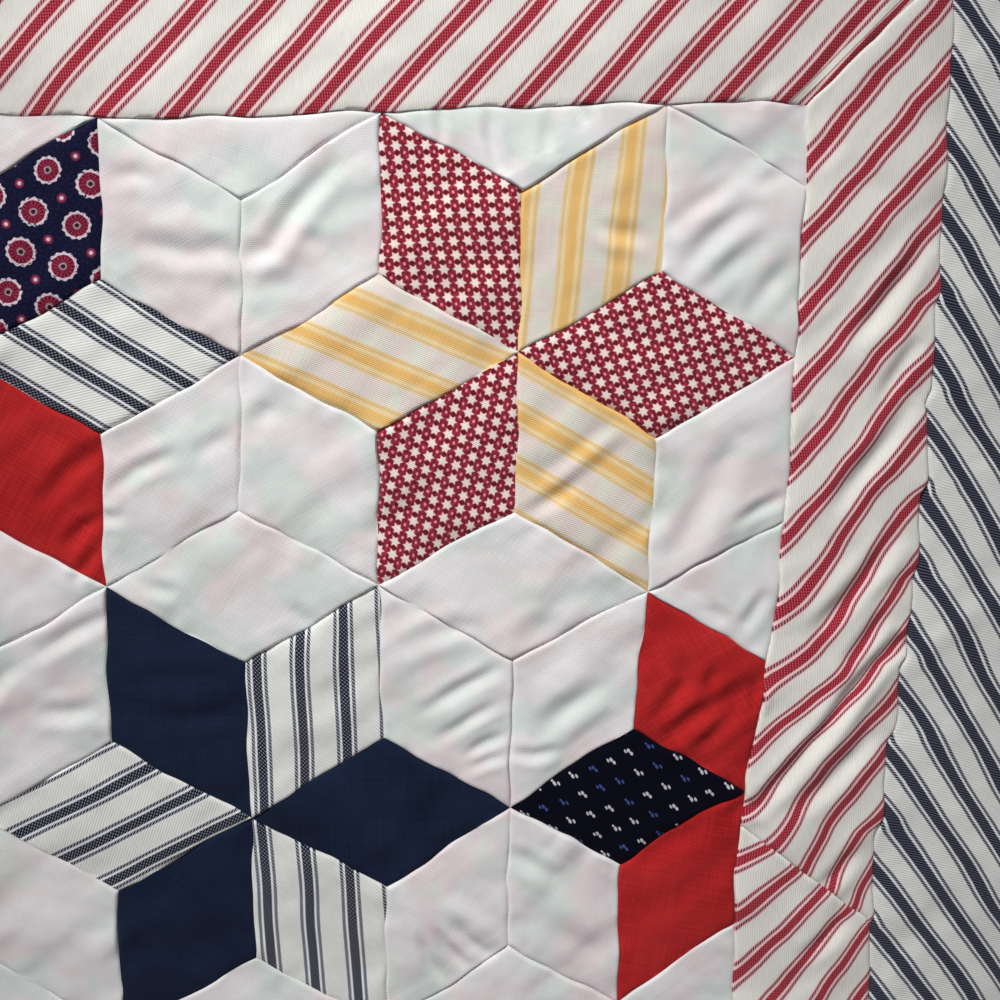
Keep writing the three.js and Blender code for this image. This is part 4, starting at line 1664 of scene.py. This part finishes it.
            low_number = np.arange(len(picked) - 1)
            lower = np.stack([low_number, low_number + 1, base + picked[1:]], axis=1)
            faces = self.turn(np.concatenate([upper, lower]))
            faces = faces[:, ::-1] if reverse else faces
            run = np.concatenate([lines, crosswise])
            rise = np.concatenate([np.zeros(len(lines)), np.ones(len(crosswise))])
            bake = np.stack([0.01 + 0.3 * run, low + 0.012 * rise], axis=1)
            wall = np.concatenate([bottom_line, top_line])
            piece.add(Surface(wall, faces, wall[:, :2], bake, self.fabric))


# How the ticking lies in the borders


@dataclass(frozen=True)
class StraightCloth:
    """Ticking laid with straight stripes: the stripes' direction, a place that a band passes, a stretch."""

    warp: float
    through: tuple
    repeat: float = 15.2
    seed: int = 41
    tuck: float = 0.0

    def mitre_distance(self, x: np.ndarray, y: np.ndarray) -> np.ndarray:
        """How far a place is from the seam that mitres the head end's right corner."""
        ends_x = PLAN.half_width + np.array([0.0, PLAN.red_border])
        ends_y = PLAN.half_height + np.array([0.0, PLAN.red_border])
        start, end = np.stack(LAYOUT.place(ends_x, ends_y), axis=1)
        return np.abs(side_distance(start, end, x, y))

    def __call__(self, share: np.ndarray, x: np.ndarray, y: np.ndarray) -> np.ndarray:
        """Places in the cloth: turned to the stripes, scaled to the repeat, a little drawn.

        A tuck beside the mitre can swallow some of the cloth.
        """
        off_x = x - PLAN.corner_star[0] - self.through[0] + 0.7 * soft_noise(x, y, 26.0, self.seed)
        off_y = y - PLAN.corner_star[1] - self.through[1] + 0.7 * soft_noise(x, y, 26.0, self.seed + 1)
        warp = math.radians(self.warp)
        scale = Fabric.RED_TICKING.value.repeat / self.repeat
        across = (off_x * math.sin(warp) - off_y * math.cos(warp)) * scale
        across = across + self.tuck * (1.0 - smooth_step(self.mitre_distance(x, y), 2.2, 5.2))
        along = off_x * math.cos(warp) + off_y * math.sin(warp)
        return np.stack([across.ravel(), along.ravel()], axis=1)


@dataclass(frozen=True)
class DrawnCloth:
    """The ticking of the right red strip, whose stripes the sewing has drawn into slack S curves.

    Places are taken from the corner star's middle. Each stripe has one number along its length, its
    count, and a band runs where the count is band_at plus a whole number of spacings. The count is worked
    out along both of the strip's seams, and shared out between them.
    """

    wave: float = 1.2
    band_at: float = 14.0
    spacing: float = 24.2
    join_up: float = -160.0
    join_fall: float = 36.0
    inner_start: float = 0.8
    inner_rate: float = 0.984
    swallowed: float = 5.0
    crowded_below: float = -90.0
    outer_start: float = -61.1
    outer_rate: float = 1.05
    crowded_start: float = -155.6
    crowded_rate: float = 1.129

    def inner_count(self, up: np.ndarray, fold_share: np.ndarray) -> np.ndarray:
        """The stripes' count along the inner seam, where the deep pucker swallows some cloth."""
        return self.inner_start + self.inner_rate * up - self.swallowed * fold_share

    def outer_count(self, up: np.ndarray) -> np.ndarray:
        """The stripes' count along the outer seam, where they crowd below the deep pucker."""
        crowded = self.crowded_start + self.crowded_rate * (up - self.crowded_below)
        return np.where(up > self.crowded_below, self.outer_start + self.outer_rate * up, crowded)

    def count(self, share: np.ndarray, up: np.ndarray, fold_share: np.ndarray) -> np.ndarray:
        """The stripes' count above the join: shared out, less a wave, with two slack stretches.

        The wave fades out towards the mitre. The slack is in the middle of the strip, above the join and
        above the deep pucker, and each fades over some 24 mm.
        """
        even = (1.0 - share) * self.inner_count(up, fold_share) + share * self.outer_count(up)
        belly = np.sin(np.pi * np.clip(share, 0.0, 1.0))
        by_join = 12.0 * belly * np.exp(-(((up - self.join_up + self.join_fall * share) / 22.0) ** 2))
        by_pucker = 11.0 * belly * np.exp(-(((up + 97.0) / 26.0) ** 2)) * (1.0 - fold_share)
        waviness = self.wave * (1.0 - smooth_step(up, -20.0, 45.0)) * smooth_step(up, -110.0, -70.0)
        return even + by_join + by_pucker + waviness * np.sin(2.0 * np.pi * share)

    def below_pucker(self, right: np.ndarray, up: np.ndarray) -> np.ndarray:
        """0 above the deep pucker and 1 below it, over 18 mm."""
        points = np.array(DEEP_PUCKER.path)[::-1]
        return smooth_step(np.interp(right, points[:, 0], points[:, 1]) - up, -9.0, 9.0)

    def cloth(self, count: np.ndarray, right: np.ndarray, up: np.ndarray, warp: float) -> np.ndarray:
        """Places in the cloth, from the stripes' count and the direction that they run in."""
        scale = Fabric.RED_TICKING.value.repeat / self.spacing
        across = -(count - self.band_at) * scale
        turn = math.radians(warp)
        along = right * math.cos(turn) + up * math.sin(turn)
        return np.stack([across.ravel(), along.ravel()], axis=1)

    def spot(self, x: np.ndarray, y: np.ndarray) -> tuple:
        """The place from the corner star, a little drawn."""
        right, up = x - PLAN.corner_star[0], y - PLAN.corner_star[1]
        return right, up + 0.6 * soft_noise(x, y, 24.0, 51)

    def __call__(self, share: np.ndarray, x: np.ndarray, y: np.ndarray) -> np.ndarray:
        """Places in the cloth above the bias join."""
        right, up = self.spot(x, y)
        fold_share = self.below_pucker(right, up)
        return self.cloth(self.count(share, up, fold_share), right, up, 53.0)


@dataclass(frozen=True)
class DrawnClothBelow(DrawnCloth):
    """The same below the bias join, where the stripes meet those above but start off flatter."""

    first_slope: float = 0.36
    slope_growth: float = 1.14
    last_slope: float = 1.5

    def __call__(self, share: np.ndarray, x: np.ndarray, y: np.ndarray) -> np.ndarray:
        """Places in the cloth below the join.

        The stripe through a place crosses the join at a share m across, and its slope there is
        first_slope + slope_growth * m. Eight rounds settle m.
        """
        right, up = self.spot(x, y)
        crossing = np.full(share.shape, 0.5)
        for _ in range(8):
            slope = np.clip(self.first_slope + self.slope_growth * crossing, 0.4, self.last_slope)
            reach = PLAN.red_border * slope
            crossing = (self.join_up - up + reach * share) / (self.join_fall + reach)
        on_join = np.clip(crossing, -0.5, 1.0)
        beyond = np.maximum(crossing - 1.0, 0.0)
        count = self.join_up - 86.0 * on_join - 30.0 * on_join * np.abs(on_join) - 120.0 * beyond
        return self.cloth(count, right, up, 47.0)


@dataclass(frozen=True)
class MatchedCloth(DrawnCloth):
    """The navy ticking beside it, whose bands meet the red ones at the seam and run down to the right."""

    slope: float = 1.32
    steepening: float = 0.003

    def __call__(self, share: np.ndarray, x: np.ndarray, y: np.ndarray) -> np.ndarray:
        """Places in the cloth of the right navy strip, from the height at which a stripe meets the seam."""
        right, up = self.spot(x, y)
        away = share * PLAN.navy_border
        count = self.outer_count(up + self.slope * away + self.steepening * away**2)
        scale = Fabric.NAVY_TICKING.value.repeat / self.spacing
        across = (count - self.band_at) * scale
        turn = math.radians(124.5)
        along = right * math.cos(turn) + up * math.sin(turn)
        return np.stack([across.ravel(), along.ravel()], axis=1)


def border_strips() -> list:
    """The red and navy strips, each from its inner edge's ends to its outer edge's ends."""
    field_seam = np.array([PLAN.half_width, PLAN.half_height])
    red_seam = field_seam + PLAN.red_border
    corners = {
        "top": ((-1, 1), (1, 1)),
        "bottom": ((1, -1), (-1, -1)),
        "left": ((-1, -1), (-1, 1)),
        "right": ((1, 1), (1, -1)),
    }
    ends = np.array(list(corners.values()))
    red = dict(zip(corners, zip(ends * field_seam, ends * red_seam)))
    navy = dict(zip(corners, zip(ends * red_seam, ends * PLAN.hem())))
    (inner_top, inner_bottom), (outer_top, outer_bottom) = red["right"]
    inner_join = (inner_top[0], PLAN.corner_star[1] - PLAN.join_inner_drop)
    outer_join = (outer_top[0], PLAN.corner_star[1] - PLAN.join_outer_drop)
    upper = ((inner_top, inner_join), (outer_top, outer_join))
    lower = ((inner_join, inner_bottom), (outer_join, outer_bottom))
    plain = {"cell": 2.8, "cells_across": 20}
    rows = (
        ("red_border_top", red["top"], StraightCloth(49.0, (20.6, 79.5), 15.5, tuck=8.0), {}),
        ("red_border_bottom", red["bottom"], StraightCloth(49.0, (33.0, -700.0), seed=43), plain),
        ("red_border_left", red["left"], StraightCloth(51.0, (-430.0, 0.0), seed=45), plain),
        ("red_border_right_upper", upper, DrawnCloth(), {"cell": 1.0, "cells_across": 46, "rows": 2}),
        ("red_border_right_lower", lower, DrawnClothBelow(), {"cell": 1.2, "cells_across": 40, "rows": 3}),
        ("navy_border_top", navy["top"], StraightCloth(131.0, (60.6, 128.0), 14.6, 49), {}),
        ("navy_border_right", navy["right"], MatchedCloth(), {"cell": 1.6, "cells_across": 40}),
        ("navy_border_bottom", navy["bottom"], StraightCloth(131.0, (10.0, -740.0), 14.6, 53), plain),
        ("navy_border_left", navy["left"], StraightCloth(124.5, (60.0, 150.0), 14.2, 47), plain),
    )
    made = []
    for seed, (name, (inner, outer), cloth, cells) in enumerate(rows, 201):
        fabric, edges = Fabric.NAVY_BORDER_TICKING, (StripEdge.SEAM_LOW, StripEdge.HEM)
        if name.startswith("red"):
            fabric, edges = Fabric.RED_TICKING, (StripEdge.SEAM_HIGH, StripEdge.SEAM_HIGH)
        made.append(BorderStrip(name, inner, outer, fabric, *edges, seed, cloth, **cells))
    return made


# Camera, light and floor


@dataclass(frozen=True)
class Studio:
    """The camera over the head end's right corner, soft light from the upper left, and a pale floor.

    The camera's place and turns were worked out from the star's corners in the photo.
    """

    lens: float = 43.2
    sensor: float = 36.0
    camera_from_star: tuple = (-25.756, 7.721, 388.806)
    cloth_level: float = 4.0
    tip_degrees: float = 8.0
    yaw_degrees: float = 3.0
    roll_degrees: float = -0.82967
    key_power: float = 1.78
    key_azimuth: float = 122.0
    key_elevation: float = 32.0
    key_spread: float = 14.0
    key_colour: tuple = (0.98, 1.0, 0.985)
    sky_colour: tuple = (1.0, 0.89, 0.95, 1.0)
    fill: float = 0.15
    patch_power: float = 26.0
    patch_azimuth: float = 102.0
    patch_elevation: float = 40.0
    patch_middle: tuple = (-42.0, 10.0)
    patch_distance: float = 900.0
    patch_degrees: float = 36.0
    patch_radius: float = 0.15
    floor_size: float = 6.0
    floor_gap: float = 0.0004
    floor_colour: tuple = (0.78, 0.77, 0.75, 1.0)

    def build(self) -> None:
        """Makes the camera, the lights, the world and the floor."""
        self.build_camera()
        self.build_light()
        self.build_floor()

    def build_camera(self) -> None:
        """World to camera is a turn about X times one about Y times one about Z."""
        data = bpy.data.cameras.new("camera")
        data.lens, data.sensor_width = self.lens, self.sensor
        data.clip_start, data.clip_end = 0.01, 20.0
        camera = bpy.data.objects.new("camera", data)
        bpy.context.scene.collection.objects.link(camera)
        turn = (
            Matrix.Rotation(math.radians(self.tip_degrees), 3, "X")
            @ Matrix.Rotation(math.radians(self.yaw_degrees), 3, "Y")
            @ Matrix.Rotation(math.radians(self.roll_degrees), 3, "Z")
        )
        star = PLAN.corner_star
        place = np.array([star[0], star[1], self.cloth_level]) + self.camera_from_star
        camera.matrix_world = Matrix.Translation(place * MM) @ turn.transposed().to_4x4()
        bpy.context.scene.camera = camera

    def aim(self, azimuth: float, elevation: float) -> Matrix:
        """The turn of a lamp that shines from this azimuth and elevation, in degrees."""
        level = Matrix.Rotation(math.radians(azimuth - 90.0), 4, "Z")
        return level @ Matrix.Rotation(math.radians(elevation - 90.0), 4, "X")

    def build_light(self) -> None:
        """One broad sun from the upper left, a nearer lamp from above the head end, and an even sky."""
        data = bpy.data.lights.new("window_light", "SUN")
        data.energy, data.angle = self.key_power, math.radians(self.key_spread)
        data.color = self.key_colour
        light = bpy.data.objects.new("window_light", data)
        bpy.context.scene.collection.objects.link(light)
        light.matrix_world = self.aim(self.key_azimuth, self.key_elevation)
        patch = bpy.data.lights.new("window_patch", "SPOT")
        patch.energy, patch.color = self.patch_power, data.color
        patch.spot_size, patch.spot_blend = math.radians(self.patch_degrees), 1.0
        patch.shadow_soft_size = self.patch_radius
        lamp = bpy.data.objects.new("window_patch", patch)
        bpy.context.scene.collection.objects.link(lamp)
        rise = math.radians(self.patch_elevation)
        back = np.array([*(math.cos(rise) * direction(self.patch_azimuth)), math.sin(rise)])
        middle = np.array([*(PLAN.corner_star + self.patch_middle), 0.0])
        place = Matrix.Translation((middle + back * self.patch_distance) * MM)
        lamp.matrix_world = place @ self.aim(self.patch_azimuth, self.patch_elevation)
        world = bpy.data.worlds.new("sky")
        bpy.context.scene.world = world
        world.use_nodes = True
        background = world.node_tree.nodes["Background"]
        background.inputs["Color"].default_value = self.sky_colour
        background.inputs["Strength"].default_value = self.fill
        bpy.context.scene.view_settings.view_transform = "Standard"

    def build_floor(self) -> None:
        """A flat pale floor just under the quilt."""
        half = self.floor_size / 2.0
        turns = ((-1, -1), (1, -1), (1, 1), (-1, 1))
        corners = [(half * right, half * up, -self.floor_gap) for right, up in turns]
        mesh = bpy.data.meshes.new("floor")
        mesh.from_pydata(corners, [], [(0, 1, 2, 3)])
        floor = bpy.data.objects.new("floor", mesh)
        bpy.context.scene.collection.objects.link(floor)
        made = bpy.data.materials.new("pale_floor")
        graph = Graph(made)
        shader = graph.node("BsdfPrincipled", None, Roughness=0.9)
        shader.inputs["Base Color"].default_value = self.floor_colour
        graph.feed(graph.node("OutputMaterial").inputs["Surface"], shader.outputs[0])
        mesh.materials.append(made)


def main() -> None:
    """Builds the studio, the star blocks and the borders."""
    logging.basicConfig(level=logging.INFO, format="%(message)s")
    Studio().build()
    for row in range(PLAN.star_rows):
        columns = PLAN.star_columns + 1 if row % 2 else PLAN.star_columns
        for column in range(columns):
            StarBlock(row, column).build()
    for strip in border_strips():
        strip.build()


if __name__ == "__main__":
    main()
